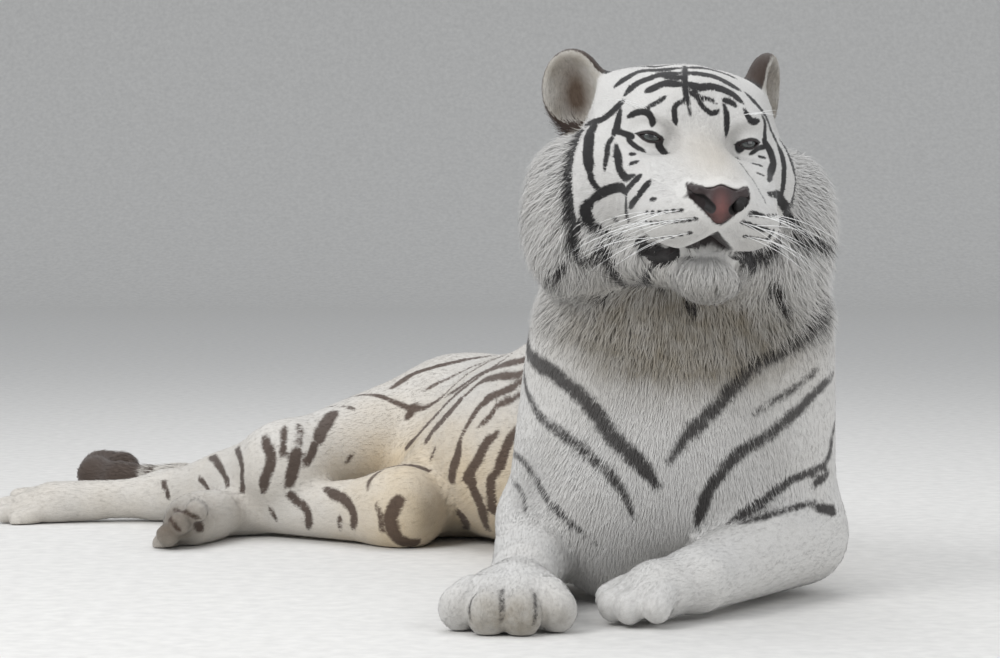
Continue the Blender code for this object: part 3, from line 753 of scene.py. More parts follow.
# Each mark: its width in mm, then its places in its chart
FACE_MARKS = [
    (6.5, (-9, 64), (-10, 52), (-10, 43), (-9, 39)),  # down the middle of the crown, and the fan under it
    (4.5, (-9, 40), (-8, 36), (-7, 32)),
    (4, (-10, 40), (-12, 36)),
    (6.5, (-3, 39), (0, 36), (4, 34), (8, 35)),
    (5.5, (-8, 43), (-4, 40), (2, 40), (7, 38)),
    (4, (-10, 49), (-6, 44), (-2, 40)),
    (11, (-12, 60), (-29, 59), (-45, 58), (-51, 52), (-56, 46)),  # right side of the crown
    (11, (-13, 54), (-26, 54), (-34, 51), (-41, 47), (-45, 41)),
    (11.5, (-12, 46), (-22, 47), (-27, 45), (-32, 42)),
    (6, (-20, 40), (-24, 36), (-29, 33)),
    (9, (-11, 50), (-17, 51), (-24, 52)),
    (6.5, (-12, 38), (-15, 35), (-15, 31), (-14, 28)),
    (8, (-39, 30), (-34, 31), (-29, 31), (-26, 29), (-26, 27)),  # over the right eye
    (10, (-70, 28), (-59, 29), (-54, 32), (-48, 36), (-44, 38)),  # right temple, down to the cheek
    (10, (-45, 34), (-45, 28), (-45, 22)),
    (6.5, (-45, 22), (-46, 17), (-45, 12), (-45, 5)),
    (7.5, (-44, 24), (-39, 23), (-35, 22)),
    (6.5, (-38, 21), (-34, 18), (-28, 15)),  # under the right eye
    (6, (-34, 13), (-32, 13)),
    (9, (-23, 21), (-20.5, 18), (-18.5, 15)),  # at its inner corner
    (6.5, (-33, 8), (-29, 9)),
    (9, (-42, 17), (-39, 10), (-37, 5), (-33, 2), (-29, 3)),
    (9, (-33, -4), (-29, 0), (-26, 3)),
    (9, (-31, -10), (-27, -6), (-24, -2), (-22, 1)),
    (6, (-32, -4), (-33, -9), (-35, -14), (-35, -19)),
    (5.5, (-21, -5), (-19, -5)),
    (11, (-32, -4), (-36, -2), (-42, -3), (-47, -5), (-52, -8)),  # the hook on the right cheek
    (13.5, (-52, -8), (-55, -12), (-55, -15), (-54, -19), (-51, -22)),
    (8, (-51, -22), (-47, -25), (-44, -27), (-38, -28)),
    (8, (-48, -4), (-51, 0), (-52, 4)),
    (14, (-52, 4), (-54, 10), (-56, 16), (-59, 22), (-59, 27)),
    (20, (-73, 25), (-69, 17), (-67, 10), (-66, 4)),  # outer right cheek
    (22, (-67, 4), (-67, -2), (-66, -8), (-65, -14)),
    (20, (-65, -14), (-63, -19), (-63, -24), (-63, -31)),
    (11, (-63, -31), (-59, -34), (-54, -35)),
    (11, (-51, -29), (-49, -34), (-47, -38)),
    (12.5, (-48, -37), (-45, -41), (-45, -47), (-49, -55)),
    (10.5, (-48, -52), (-48, -61), (-41, -61), (-25, -43), (-22, -36)),
    (6, (-44, -17), (-41, -18)),
    (16, (-30, -28), (-21, -28), (-16, -28)),  # corners of the mouth
    (20, (-23, -30), (-16, -29), (-11, -25)),
    (12, (-22, -33), (-14, -31)),
    (19, (21, -27), (36, -32), (48, -31)),
    (15, (48, -31), (54, -26), (58, -21)),
    (9, (32, -33), (42, -38)),
    (11, (-7, 60), (9, 62), (27, 61), (37, 57)),  # left side of the crown
    (11, (-8, 54), (0, 54), (11, 53), (20, 50), (27, 47)),
    (11, (-7, 47), (-2, 45), (5, 46), (13, 45), (19, 43), (23, 39)),
    (8, (11, 40), (15, 39), (18, 37)),
    (6.5, (11, 38), (12, 32), (12, 28), (13, 25)),  # over the left eye
    (7.5, (22, 36), (24, 31), (29, 30)),
    (5.5, (24, 30), (30, 31)),
    (10, (31, 46), (36, 39), (41, 34), (49, 30), (50, 24)),  # left temple, down to the cheek
    (10, (50, 24), (48, 17), (45, 10), (44, 4), (44, -1)),
    (7.5, (34, 34), (37, 29), (39, 25)),
    (10.5, (37, 25), (40, 21), (39, 15), (35, 10), (24, 4)),
    (6.5, (27, 18), (33, 21), (39, 22)),  # under the left eye
    (4.5, (32, 17), (35, 16)),
    (6.5, (22, 12), (28, 11)),
    (4.5, (20, 7), (23, 6)),
    (3, (14, 12), (14, 6), (15, 3), (15, -1), (14, -4)),
    (18, (63, 26), (61, 20), (57, 14), (57, 8)),  # outer left cheek
    (18, (58, 8), (57, 2), (57, -4), (57, -8)),
    (12, (21, -1), (39, -1), (48, -4), (53, -7), (57, -9)),
    (10, (57, -9), (62, -11), (68, -13)),
    (11, (42, -15), (50, -13), (54, -10)),
    (7, (17, -11), (15, -14)),
    (5, (6, -9), (9, -10), (13, -11)),
    (4.5, (7, -6), (12, -7)),
    (11, (65, -21), (69, -18), (81, -16)),
    (15, (31, -60), (39, -60)),  # loose dark locks of the throat and ruff, partly painted shade under the chin
    (13, (63, -41), (68, -40)),
    (10, (68, -44), (72, -44)),
    (13, (19, -70), (31, -68)),
    (10, (-83, -58), (-80, -61)),
    (9, (-21, -68), (-13, -69)),
    (7, (-10, -37), (-3, -38)),
    (8, (-88, -39), (-76, -37), (-70, -34)),
    (11, (102, 20), (94, 8), (90, -6), (92, -22)),  # behind the cheeks and crown
    (11, (-106, 18), (-99, 4), (-95, -10), (-97, -26)),
    (9.5, (-60, 78), (20, 84), (75, 76)),
    (11, (-100, 62), (180, 74), (100, 64)),
    (11, (-120, 44), (180, 58), (120, 46)),
]
WHISKER_ROWS = [  # each with its first and last place, and how many roots show
    ((-22, -9), (-12, -7), 6), ((-22, -12), (-8, -9), 9), ((-24, -19), (-9, -13), 7),
    ((7, -7), (18, -7), 6), ((5, -9), (14, -11), 8), ((7, -13), (16, -14), 6),
]


def whisker_roots():
    for first, last, count in WHISKER_ROWS:
        for share in np.linspace(0, 1, count):
            yield np.array(first) + (np.array(last) - np.array(first)) * share


BREAST_MARKS = [
    (19, (0.37, -64), (0.33, -56), (0.30, -40), (0.26, -30), (0.22, -22), (0.19, -14), (0.16, -8)),
    (16, (0.40, 50), (0.37, 44), (0.35, 38), (0.33, 29), (0.31, 21), (0.26, 10), (0.23, 2), (0.19, -5)),
    (11.5, (0.31, -64), (0.28, -58), (0.245, -50), (0.225, -41), (0.195, -29), (0.16, -20), (0.12, -16)),
    (9, (0.19, -82), (0.185, -66), (0.165, -54), (0.13, -42), (0.085, -28)),
    (7, (0.155, -82), (0.14, -62), (0.12, -52)),
    (15, (0.30, 56), (0.28, 46), (0.23, 32), (0.20, 18), (0.16, 9), (0.13, 6), (0.11, 5)),
    (8, (0.31, 44), (0.28, 34), (0.25, 23)),
    (12.5, (0.24, 70), (0.22, 64), (0.18, 62), (0.16, 45), (0.13, 26), (0.11, 15)),
    (7, (0.13, 62), (0.12, 35), (0.11, 18)),
]
FLANK_MARKS = [  # of the right side
    (15.5, (0.95, -12), (0.98, -45), (1.01, -78), (1.03, -101), (1.02, -107), (0.99, -113)),
    (8.5, (0.78, -15), (0.85, -56), (0.93, -75), (0.96, -96), (0.96, -106)),
    (14, (0.52, -12), (0.54, -40), (0.59, -63), (0.70, -71), (0.78, -78), (0.82, -91), (0.87, -98)),
    (14, (0.43, -12), (0.48, -40), (0.56, -70), (0.65, -78), (0.72, -83), (0.74, -91), (0.75, -98)),
    (24, (0.75, -97), (0.76, -105), (0.78, -113)),
    (18, (0.77, -111), (0.80, -117), (0.81, -123)),
    (14, (0.36, -12), (0.44, -45), (0.55, -76), (0.59, -84), (0.62, -90), (0.65, -96), (0.66, -103),
     (0.67, -116)),
    (11, (0.48, -74), (0.56, -88), (0.59, -93), (0.60, -101), (0.62, -107)),
    (19, (0.67, -114), (0.67, -122), (0.68, -127), (0.69, -132), (0.70, -138), (0.71, -145), (0.72, -153),
     (0.77, -163)),
    (17.5, (0.57, -108), (0.59, -114), (0.60, -120), (0.62, -127), (0.64, -133), (0.64, -139), (0.65, -147),
     (0.69, -160)),
    (18, (0.25, -12), (0.30, -45), (0.38, -75), (0.48, -98), (0.53, -107), (0.55, -116), (0.56, -123),
     (0.58, -131)),
    (15.5, (0.58, -129), (0.59, -135), (0.60, -141), (0.62, -149)),
    (8.5, (0.75, -121), (0.76, -127), (0.74, -131)),
    (12.5, (0.94, -112), (0.92, -120)),
    (17, (0.14, -12), (0.18, -45), (0.26, -75), (0.35, -98), (0.41, -118), (0.46, -142)),
    (17, (0.05, -12), (0.08, -45), (0.15, -75), (0.23, -98), (0.30, -122)),
    (17, (0.47, -104), (0.49, -116), (0.52, -132)),
    (15.5, (0.84, -12), (0.87, -30), (0.90, -52)),
    (21, (1.08, -72), (1.07, -40), (1.05, -12)),
    (19, (1.18, -68), (1.17, -35), (1.15, -10)),
]
PLACED_MARKS = [  # on the hind legs and paws, by the nearest place on the skin
    (11, (-0.558, 0.952, 0.071), (-0.548, 0.936, 0.058), (-0.544, 0.935, 0.043)),  # right hind leg
    (10, (-0.485, 0.860, 0.085), (-0.477, 0.841, 0.078), (-0.468, 0.830, 0.064)),
    (12, (-0.475, 0.870, 0.122), (-0.461, 0.843, 0.118), (-0.446, 0.801, 0.105), (-0.436, 0.784, 0.091),
     (-0.430, 0.765, 0.074)),
    (12, (-0.425, 0.790, 0.142), (-0.412, 0.752, 0.133), (-0.405, 0.727, 0.116), (-0.406, 0.730, 0.092),
     (-0.408, 0.734, 0.068)),
    (15, (-0.370, 0.720, 0.165), (-0.364, 0.701, 0.150), (-0.357, 0.691, 0.135), (-0.360, 0.688, 0.112),
     (-0.368, 0.693, 0.093), (-0.372, 0.702, 0.074)),
    (10, (-0.340, 0.730, 0.178), (-0.339, 0.704, 0.161), (-0.337, 0.692, 0.143), (-0.327, 0.688, 0.129)),
    (9, (-0.316, 0.740, 0.182), (-0.313, 0.714, 0.165), (-0.314, 0.698, 0.145)),
    (18, (-0.315, 0.695, 0.144), (-0.321, 0.687, 0.118), (-0.330, 0.688, 0.086)),
    (18, (-0.265, 0.812, 0.195), (-0.273, 0.781, 0.184), (-0.282, 0.743, 0.167), (-0.289, 0.720, 0.151)),
    (13, (-0.289, 0.722, 0.155), (-0.295, 0.702, 0.134), (-0.305, 0.692, 0.120)),
    (6, (-0.232, 0.765, 0.132), (-0.245, 0.750, 0.117)),
    (13, (-0.335, 0.700, 0.080), (-0.318, 0.689, 0.065), (-0.303, 0.673, 0.054), (-0.297, 0.668, 0.039),
     (-0.299, 0.680, 0.020)),  # left hind leg
    (15, (-0.274, 0.672, 0.086), (-0.251, 0.640, 0.076), (-0.233, 0.618, 0.067), (-0.223, 0.605, 0.050),
     (-0.226, 0.616, 0.027)),
    (8.5, (-0.245, 0.627, 0.045), (-0.247, 0.639, 0.021)),
    (8, (-0.186, 0.575, 0.070), (-0.182, 0.565, 0.046), (-0.182, 0.573, 0.024)),
    (6, (-0.160, 0.559, 0.062), (-0.156, 0.558, 0.045), (-0.154, 0.564, 0.029)),
    (8, (-0.361, 0.712, 0.052), (-0.351, 0.713, 0.029)),
    (6, (-0.520, 0.575, 0.062), (-0.496, 0.553, 0.045), (-0.484, 0.551, 0.031)),  # lines of its paw: painted shade in the creases between its toes
    (6, (-0.504, 0.600, 0.066), (-0.479, 0.572, 0.058), (-0.455, 0.568, 0.049)),
    (14, (-0.460, 0.574, 0.042), (-0.453, 0.600, 0.025)),
    (5, (0.006, -0.328, 0.062), (0.003, -0.352, 0.045), (0.002, -0.362, 0.018)),  # painted shade in the creases between the forepaw's toes
    (5, (-0.036, -0.323, 0.056), (-0.041, -0.346, 0.040), (-0.041, -0.354, 0.016)),
    (5, (0.046, -0.334, 0.056), (0.044, -0.358, 0.040), (0.043, -0.364, 0.016)),
]


def rings(starts, low, high, slant=0.02):
    """Marks round a limb, at distances along it, from one angle to another."""
    for index, start in enumerate(starts):
        lean = slant * (-1) ** index
        yield (12 + 2 * (index % 3), *[(start + lean * t, low + (high - low) * t) for t in (0, 0.35, 0.7, 1)])


MARKS = [
    (FACE, FACE_MARKS),
    (FACE, [(4.4, root, root + (0.8, 0)) for root in whisker_roots()]),  # a dot at each root
    (BREAST, BREAST_MARKS),
    (TRUNK, FLANK_MARKS),
    (TRUNK, rings(np.arange(0.12, 1.2, 0.085), 14, 130, 0.03)),
    (NAPE, rings((0.10, 0.17, 0.24, 0.31), -75, 80, 0.01)),
    (FORELEGS["right"], rings((0.21, 0.28), -170, -125)),
    (FORELEGS["left"], rings((0.19, 0.26), 115, 170)),
    (HINDLEGS["right"], rings((0.51,), 20, 110)),
    (HINDLEGS["left"], rings((0.12, 0.22, 0.33), -40, 60)),
    (TAILWAY, rings((0.20, 0.28, 0.36, 0.45, 0.53, 0.62, 0.71), -170, 170, 0.01)),
    (None, PLACED_MARKS),
]


def smooth_line(places, steps=5):
    """Points along a smooth curve through the places."""
    p = np.array(places, float)
    p = np.concatenate([[2 * p[0] - p[1]], p, [2 * p[-1] - p[-2]]])
    line = []
    for a, b, c, d in zip(p, p[1:], p[2:], p[3:]):
        for t in np.linspace(0, 1, steps, endpoint=False):
            line.append(0.5 * (2 * b + (c - a) * t + (2 * a - 5 * b + 4 * c - d) * t**2
                               + (3 * b - a - 3 * c + d) * t**3))
    return np.array(line + [p[-2]])


def on_skin(tree, chart, place):
    if chart is None:
        return np.array(tree.find_nearest(Vector(place))[0])
    middle, way = chart.ray(*place)
    if chart is FACE:
        found = tree.ray_cast(Vector(middle), Vector(way))[0]
    else:
        found = tree.ray_cast(Vector(middle + way * OUTSIDE), Vector(-way))[0]
    return np.array(found) if found else None


def marks_on(tree):
    """Every mark as points on the skin, with its half width at each."""
    lines = []
    for chart, marks in MARKS:
        for width, *places in marks:
            curve = smooth_line(places)
            share = np.linspace(0, 1, len(curve))
            taper = np.clip(0.45 + np.minimum(share, 1 - share) * 4, 0, 1)
            spots = [on_skin(tree, chart, place) for place in curve]
            found = [(spot, width * HALF_MM * part) for spot, part in zip(spots, taper) if spot is not None]
            lines.append((np.array([spot for spot, half in found]), np.array([half for spot, half in found])))
    return lines


def marked(p, lines):
    """How deep each point lies in a mark: below 0 outside all of them."""
    deep = np.full(len(p), -MARK_REACH)
    for spots, halves in lines:
        low, high = spots.min(axis=0) - MARK_REACH, spots.max(axis=0) + MARK_REACH
        near = np.flatnonzero(((p > low) & (p < high)).all(axis=1))
        for a, b, first, last in zip(spots, spots[1:], halves, halves[1:]):
            span = b - a
            if not len(near) or np.linalg.norm(span) > MARK_BREAK:
                continue
            t = np.clip((p[near] - a) @ span / (span @ span + 1e-12), 0, 1)
            reach = np.linalg.norm(p[near] - a - t[:, None] * span, axis=1)
            deep[near] = np.maximum(deep[near], first + (last - first) * t - reach)
    return deep


def feature_marks(p):
    """Depth in the dark rims of the lids, the wedge at each eye's inner corner, and the lips: their gap is
    painted dark, partly the lips' own black and partly painted shade in the opening under the nose.
    """
    # the gap between the lips: their own black, and painted shade in the mouth's opening
    deep = np.maximum(0.0012 - lips(p), 0.0010 - PHILTRUM.distance(p))
    for side in (1, -1):
        slit, q = lid_opening(p, side)
        rim = np.where(q[:, 2] > LID_AT[1], UPPER_RIM, LOWER_RIM) - slit
        front = (np.linalg.norm(q, axis=1) < 0.042) & (q[:, 1] < 0.004)
        deep = np.where(front, np.max([deep, rim, 0.0018 - tear_line(p, side)], axis=0), deep)
    return np.maximum(deep, -MARK_REACH)


def ear_marks(p):
    """Depth in the black back of each ear and its rim, round a pale spot."""
    deep = np.full(len(p), -MARK_REACH)
    for shell, hollow in EARS.values():
        q = (p - shell.at) @ shell.axes.T / shell.half
        past_spot = np.linalg.norm(q[:, [0, 2]] - (0, 0.05), axis=1) - 0.35
        back = np.min([0.30 - q[:, 1], 0.9 + q[:, 2], past_spot], axis=0)
        near = (shell.distance(p) < 0.01) & (hollow.distance(p) > 0.005)
        deep = np.where(near, np.maximum(deep, back * 0.03), deep)
    return deep


def ear_hollow_shade(p):
    """How much painted shade lies in the deep of each ear's hollow."""
    dark = np.zeros(len(p))
    for shell, hollow in EARS.values():
        q = (p - shell.at) @ shell.axes.T / shell.half
        spot = np.exp(-(((q[:, [0, 2]] - (0.0, 0.0)) / (0.48, 0.62)) ** 2).sum(axis=1))
        dark = np.maximum(dark, spot * ramp(0.007, 0.004, hollow.distance(p)) * (shell.distance(p) < 0.01))
    return dark


def tail_end(p):
    """Depth in the dark end of the tail."""
    end = Group(0.01, *[Bone(a, b, 0.05, 0.05) for a, b in zip(TAIL_PATH[5:], TAIL_PATH[6:])])
    return -end.distance(p) * 0.5


def near_spot(p, at, size):
    """1 at a place, falling off over size."""
    return np.exp(-(((p - at) / size) ** 2).sum(axis=1))


# Spots of shade and dirt: how strong, where, and how far they reach
HEAD_SHADE = (
    (1.8, (0, 0.03, -0.250), (0.16, 0.14, 0.065)),  # under the chin
    (0.42, (0, -0.05, -0.035), (0.034, 0.07, 0.04)),  # along the nose's bridge
)
PAW_SHADE = (
    (1.1, (0.015, -0.370, 0.020), (0.095, 0.050, 0.040)),  # right forepaw
    (1.0, (-0.505, 0.575, 0.040), (0.055, 0.060, 0.045)),  # left hind paw
)
DIRT = (
    (0.5, (-0.108, 0.580, 0.050), (0.022, 0.060, 0.050)),  # belly
    (0.75, (-0.505, 0.575, 0.045), (0.055, 0.060, 0.055)),  # left hind paw
)


def shaded(p, spots):
    return sum(strength * near_spot(p, at, size) for strength, at, size in spots)


def markings(p, lines):
    """What the coat's colours are worked out from, at points of the skin."""
    q = to_head(p)
    head = ramp(0.26, 0.20, np.linalg.norm(q - (0, 0.06, -0.05), axis=1))
    ear = ramp(0.006, 0.0, np.min([shell.distance(p) for shell in EAR_SHELLS], axis=0))
    behind = ramp(0.12, 0.45, p[:, 1])
    leg = ramp(-0.15, -0.32, p[:, 0])
    low = ramp(0.26, 0.10, p[:, 2])
    # painted shade under the chin, along the nose's bridge and over two paws; the ears add a grey-beige tint
    shade_and_ear_tint = shaded(q, HEAD_SHADE) + shaded(p, PAW_SHADE)
    bridge = near_spot(q, (0, -0.05, -0.035), (0.030, 0.07, 0.04))
    return {
        "mark": np.max([marked(p, lines), feature_marks(p), ear_marks(p), tail_end(p)], axis=0),
        "brown": np.clip(0.08 + 0.90 * behind - 0.25 * leg, 0, 1) * ramp(0.50, 0.40, p[:, 2]) + 0.5 * ear,
        "cream": np.clip(0.10 + (0.16 + 0.62 * low) * behind * (1 - 0.75 * leg) + 0.3 * bridge, 0, 1),
        # dirt on the belly and the left hind paw, and painted shade deep in the ears' hollows
        "dirt_and_shade": np.maximum(shaded(p, DIRT), 1.5 * ear_hollow_shade(p)),
        "shade_and_ear_tint": np.clip(shade_and_ear_tint + 0.75 * ear, 0, 1),
        "fuzz": 1 - 0.75 * head + 0.8 * (1 - behind) * ramp(0.12, 0.25, p[:, 2]) * (1 - head),
    }


# ---- materials ----


class Value:
    """A number in a shader: an operator adds its Math node."""

    def __init__(self, graph, socket):
        self.graph, self.socket = graph, socket

    def sum_of(self, operation, *terms):
        return self.graph.node("Math", {"operation": operation}, dict(enumerate(terms)))

    def __add__(self, other):
        return self.sum_of("ADD", self, other)

    def __mul__(self, other):
        return self.sum_of("MULTIPLY", self, other)

    def __sub__(self, other):
        return self.sum_of("SUBTRACT", self, other)

    def __rsub__(self, other):
        return self.sum_of("SUBTRACT", other, self)

    def __truediv__(self, other):
        return self.sum_of("DIVIDE", self, other)

    def __pow__(self, other):
        return self.sum_of("POWER", self, other)

    __radd__ = __add__
    __rmul__ = __mul__


class Graph:
    """One material's nodes."""

    def __init__(self, name):
        self.material = bpy.data.materials.new(name)
        self.material.use_nodes = True
        self.tree = self.material.node_tree
        self.shader = self.tree.nodes["Principled BSDF"]

    def fill(self, made, values):
        for key, value in values.items():
            if isinstance(value, Value):
                self.tree.links.new(value.socket, made.inputs[key])
            else:
                made.inputs[key].default_value = value

    def node(self, kind, settings, values, output=0):
        """Adds a node: its settings first, then the values or links of its sockets."""
        made = self.tree.nodes.new("ShaderNode" + kind)
        for key, value in settings.items():
            setattr(made, key, value)
        self.fill(made, values)
        return Value(self, made.outputs[output])

    def attribute(self, name):
        return self.node("Attribute", {"attribute_name": name}, {}, "Fac")

    def place(self):
        return self.node("TexCoord", {}, {}, "Object")

    def noise(self, scale, detail=2.0):
        return self.node("TexNoise", {}, {"Vector": self.place(), "Scale": scale, "Detail": detail}, "Fac")

    def between(self, low, high, value):
        """0 below low, 1 above high, smooth between."""
        return self.node("MapRange", {"interpolation_type": "SMOOTHSTEP"},
                         {"Value": value, "From Min": low, "From Max": high})

    def blend(self, share, first, second):
        """A colour: the first where share is 0, the second where it is 1."""
        return self.node("Mix", {"data_type": "RGBA"}, {0: share, 6: first, 7: second}, 2)

    def darker(self, colour, share):
        """A colour times a number."""
        return self.node("VectorMath", {"operation": "SCALE"}, {0: colour, "Scale": share})

    def bump(self, height, depth, strength=1.0):
        return self.node("Bump", {}, {"Height": height, "Distance": depth, "Strength": strength})

    def finish(self, **values):
        """Sets the shader's sockets; an underscore in a name stands for a space."""
        self.fill(self.shader, {key.replace("_", " "): value for key, value in values.items()})
        return self.material


def coat_material(name, colours, skin=False):
    """Skin and tufts carry the same markings; tufts differ a little in tone, and painted shade darkens them
    towards the root.
    """
    g = Graph(name)
    mark, brown, cream, fuzz = (g.attribute(key) for key in ("mark", "brown", "cream", "fuzz"))
    rough = (g.noise(260.0, 3.0) - 0.5) * 0.005 + (g.noise(60.0, 2.0) - 0.5) * 0.006
    inside = g.between(-1.0, 1.0, (mark + rough * fuzz) / (fuzz * 0.0026 + 0.0005))
    wash = g.noise(14.0, 3.0)
    pale = g.blend(cream * (wash * 0.9 + 0.55), (*colours.white, 1), (*colours.cream, 1))
    # painted shade under the chin, on the nose's bridge and on the paws, and the ears' grey-beige tint
    pale = g.blend(g.attribute("shade_and_ear_tint") * (g.noise(45.0, 3.0) + 0.3), pale, (*colours.shade_and_ear_tint, 1))
    # dirt, and painted shade deep in the ears' hollows
    pale = g.blend(g.attribute("dirt_and_shade") * (wash * 0.8 + 0.45), pale, (*colours.dirt_and_shade, 1))
    dark = g.blend(brown, (*colours.dark, 1), (*colours.brown, 1))
    colour = g.blend(inside * (1.0 - fuzz * 0.06), pale, dark)
    if skin:
        bare = g.attribute("bare")
        colour = g.blend(bare, colour, (*colours.lip, 1))
        tone = g.noise(420.0, 2.0) * 0.24 + 0.74
        height = g.noise(520.0, 3.0)
        return g.finish(
            Base_Color=g.darker(colour, tone), Roughness=0.75 - bare * 0.25,
            Normal=g.bump(height, 0.0008, 0.5), Specular_IOR_Level=0.3, Sheen_Weight=0.15)
    # painted shade: a tuft darkens towards its root
    tone = g.attribute("tone") * (g.attribute("along") * 0.15 + 0.85)
    return g.finish(
        Base_Color=g.darker(colour, tone), Roughness=0.72, Specular_IOR_Level=0.25, Sheen_Weight=0.2)


def eye_material(colours):
    g = Graph("eye")
    ring = g.attribute("ring")
    streaks = g.node("TexNoise", {"noise_dimensions": "3D"}, {
        "Vector": g.place(), "Scale": 900.0, "Detail": 3.0, "Distortion": 0.4}, "Fac")
    inner = g.between(0.18, 0.40, ring + (streaks - 0.5) * 0.25)
    # the iris colours carry painted shade from under the brow
    iris = g.blend(inner, (*colours.iris_inner, 1), (*colours.iris, 1))
    iris = g.blend(g.between(0.40, 0.47, ring + (streaks - 0.5) * 0.05), iris, (*colours.iris_rim, 1))
    outer = g.blend(g.between(0.465, 0.49, ring), iris, (*colours.eye_white, 1))
    colour = g.blend(g.between(0.145, 0.165, ring), (0.003, 0.003, 0.004, 1), outer)
    return g.finish(Base_Color=colour, Roughness=0.08, Coat_Weight=1.0, Coat_Roughness=0.03)


def nose_material(colours):
    """Pebbled damp leather, with painted shade in the nostrils."""
    g = Graph("nose_leather")
    nostril = g.attribute("nostril")
    pebbles = g.node("TexVoronoi", {"feature": "DISTANCE_TO_EDGE"}, {"Vector": g.place(), "Scale": 620.0})
    pink = g.attribute("pink") * (g.noise(90.0, 3.0) * 0.8 + 0.4)
    colour = g.blend(pink, (*colours.nose_dark, 1), (*colours.nose, 1))
    # painted shade inside the nostrils
    colour = g.blend(g.between(0.55, 1.0, nostril), colour, (*colours.nostril, 1))
    return g.finish(Base_Color=colour, Roughness=0.42 + nostril * 0.2,
                    Normal=g.bump(g.between(0.0, 0.35, pebbles), 0.0003, 0.6))


def plain_material(name, colour, roughness, scale=300.0, depth=0.0002):
    g = Graph(name)
    tone = g.noise(scale, 3.0) * 0.3 + 0.85
    return g.finish(Base_Color=g.darker(tuple(colour), tone), Roughness=roughness,
                    Normal=g.bump(g.noise(scale * 2), depth))


# ---- skin ----

FACE_REACH, EAR_REACH, FOOT_REACH = 0.006, 0.012, 0.008  # how near a form its skin is made finer
EYE_REACH, LIP_REACH = 0.030, 0.005
FLESH = [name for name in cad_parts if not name.startswith(("eye_", "nose_"))]


def near_face_forms(p):
    return np.min([SKULL.distance(p), MUZZLE.distance(p)], axis=0) < FACE_REACH


def near_ears(p):
    return np.min([shell.distance(p) for shell in EAR_SHELLS], axis=0) < EAR_REACH


def near_feet(p):
    return np.min([leg.foot.distance(p) for leg in LEGS], axis=0) < FOOT_REACH


def near_face(p):
    q = to_head(p)
    return (np.abs(q[:, 0]) < 0.095) & (q[:, 1] < 0.040) & (q[:, 2] > -0.185) & (q[:, 2] < 0.035)


def near_features(p):
    eyes = np.min([np.linalg.norm(p - at, axis=1) for at in EYE_AT.values()], axis=0) < EYE_REACH
    features = np.min([lips(p), CORNERS.distance(p), PHILTRUM.distance(p)], axis=0)
    return eyes | (features < LIP_REACH)


def near_head(p):
    return near_face_forms(p) | near_face(p)


def bare_skin(p):
    """1 on lids, lips and nose, where no hair grows."""
    bare = np.zeros(len(p))
    for side in (1, -1):
        ball = np.linalg.norm(p - EYE_AT[side], axis=1)
        slit, q = lid_opening(p, side)
        rim = ramp(0.0026, 0.0016, slit) * ramp(0.030, 0.026, ball) * (q[:, 1] < 0.004)
        bare = np.maximum(bare, rim)
    bare = np.max([bare, ramp(0.0006, 0.0, lips(p)), ramp(0.0016, 0.0006, PHILTRUM.distance(p))], axis=0)
    return np.maximum(bare, ramp(0.0010, 0.0, nose_outline(p)))


def open_lids(skin, side):
    """Cuts the slit between an eye's lids through the skin, down to the ball."""
    bm = bmesh.new()
    bmesh.ops.create_circle(bm, segments=40, radius=1, cap_ends=True)
    for vert in bm.verts:
        arch = (LID_UP if vert.co.y > 0 else -LID_DOWN) * vert.co.y**2
        vert.co = (LID_AT[0] + LID_HALF * vert.co.x, -0.036, LID_AT[1] + arch)
    drawn = bmesh.ops.extrude_face_region(bm, geom=bm.faces[:])["geom"]
    bmesh.ops.translate(bm, verts=[part for part in drawn if isinstance(part, bmesh.types.BMVert)],
                        vec=(0, 0.025, 0))
    turn = Matrix(eye_axes(side).T).to_4x4()
    bmesh.ops.transform(bm, matrix=Matrix.Translation(EYE_AT[side]) @ turn, verts=bm.verts)
    bmesh.ops.recalc_face_normals(bm, faces=bm.faces)
    slit = object_from("slit", bm)
    cut = skin.modifiers.new("slit", "BOOLEAN")
    cut.operation, cut.solver, cut.object = "DIFFERENCE", "EXACT", slit
    mesh = bpy.data.meshes.new_from_object(skin.evaluated_get(bpy.context.evaluated_depsgraph_get()))
    skin.modifiers.clear()
    skin.data = mesh
    bpy.data.objects.remove(slit)


SHARP = math.radians(60)  # edges steeper than this, at the cut lids, aren't smoothed


def build_skin():
    bm = bmesh.new()
    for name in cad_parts:
        bm.from_mesh(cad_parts[name].data)
    bmesh.ops.remove_doubles(bm, verts=bm.verts, dist=1e-5)
    bmesh.ops.translate(bm, verts=bm.verts, vec=-Vector(HOME))
    skin = object_from("skin", bm)
    for _ in range(3):
        remesh(skin, SKIN_VOXEL)
        settle(skin.data, lidded_form, 2, 0.3)
    remesh(skin, SKIN_VOXEL)
    refine(skin, lambda p: near_face_forms(p) | near_ears(p) | near_feet(p))
    settle(skin.data, lidded_form, 3, 0.4)
    refine(skin, near_face)
    settle(skin.data, fine_form, 2, 0.4, near_head)
    refine(skin, near_features)
    settle(skin.data, fine_form, 5, 0.3, near_head)
    for side in (1, -1):
        open_lids(skin, side)
    skin.data.shade_smooth()
    skin.data.set_sharp_from_angle(angle=SHARP)
    return skin


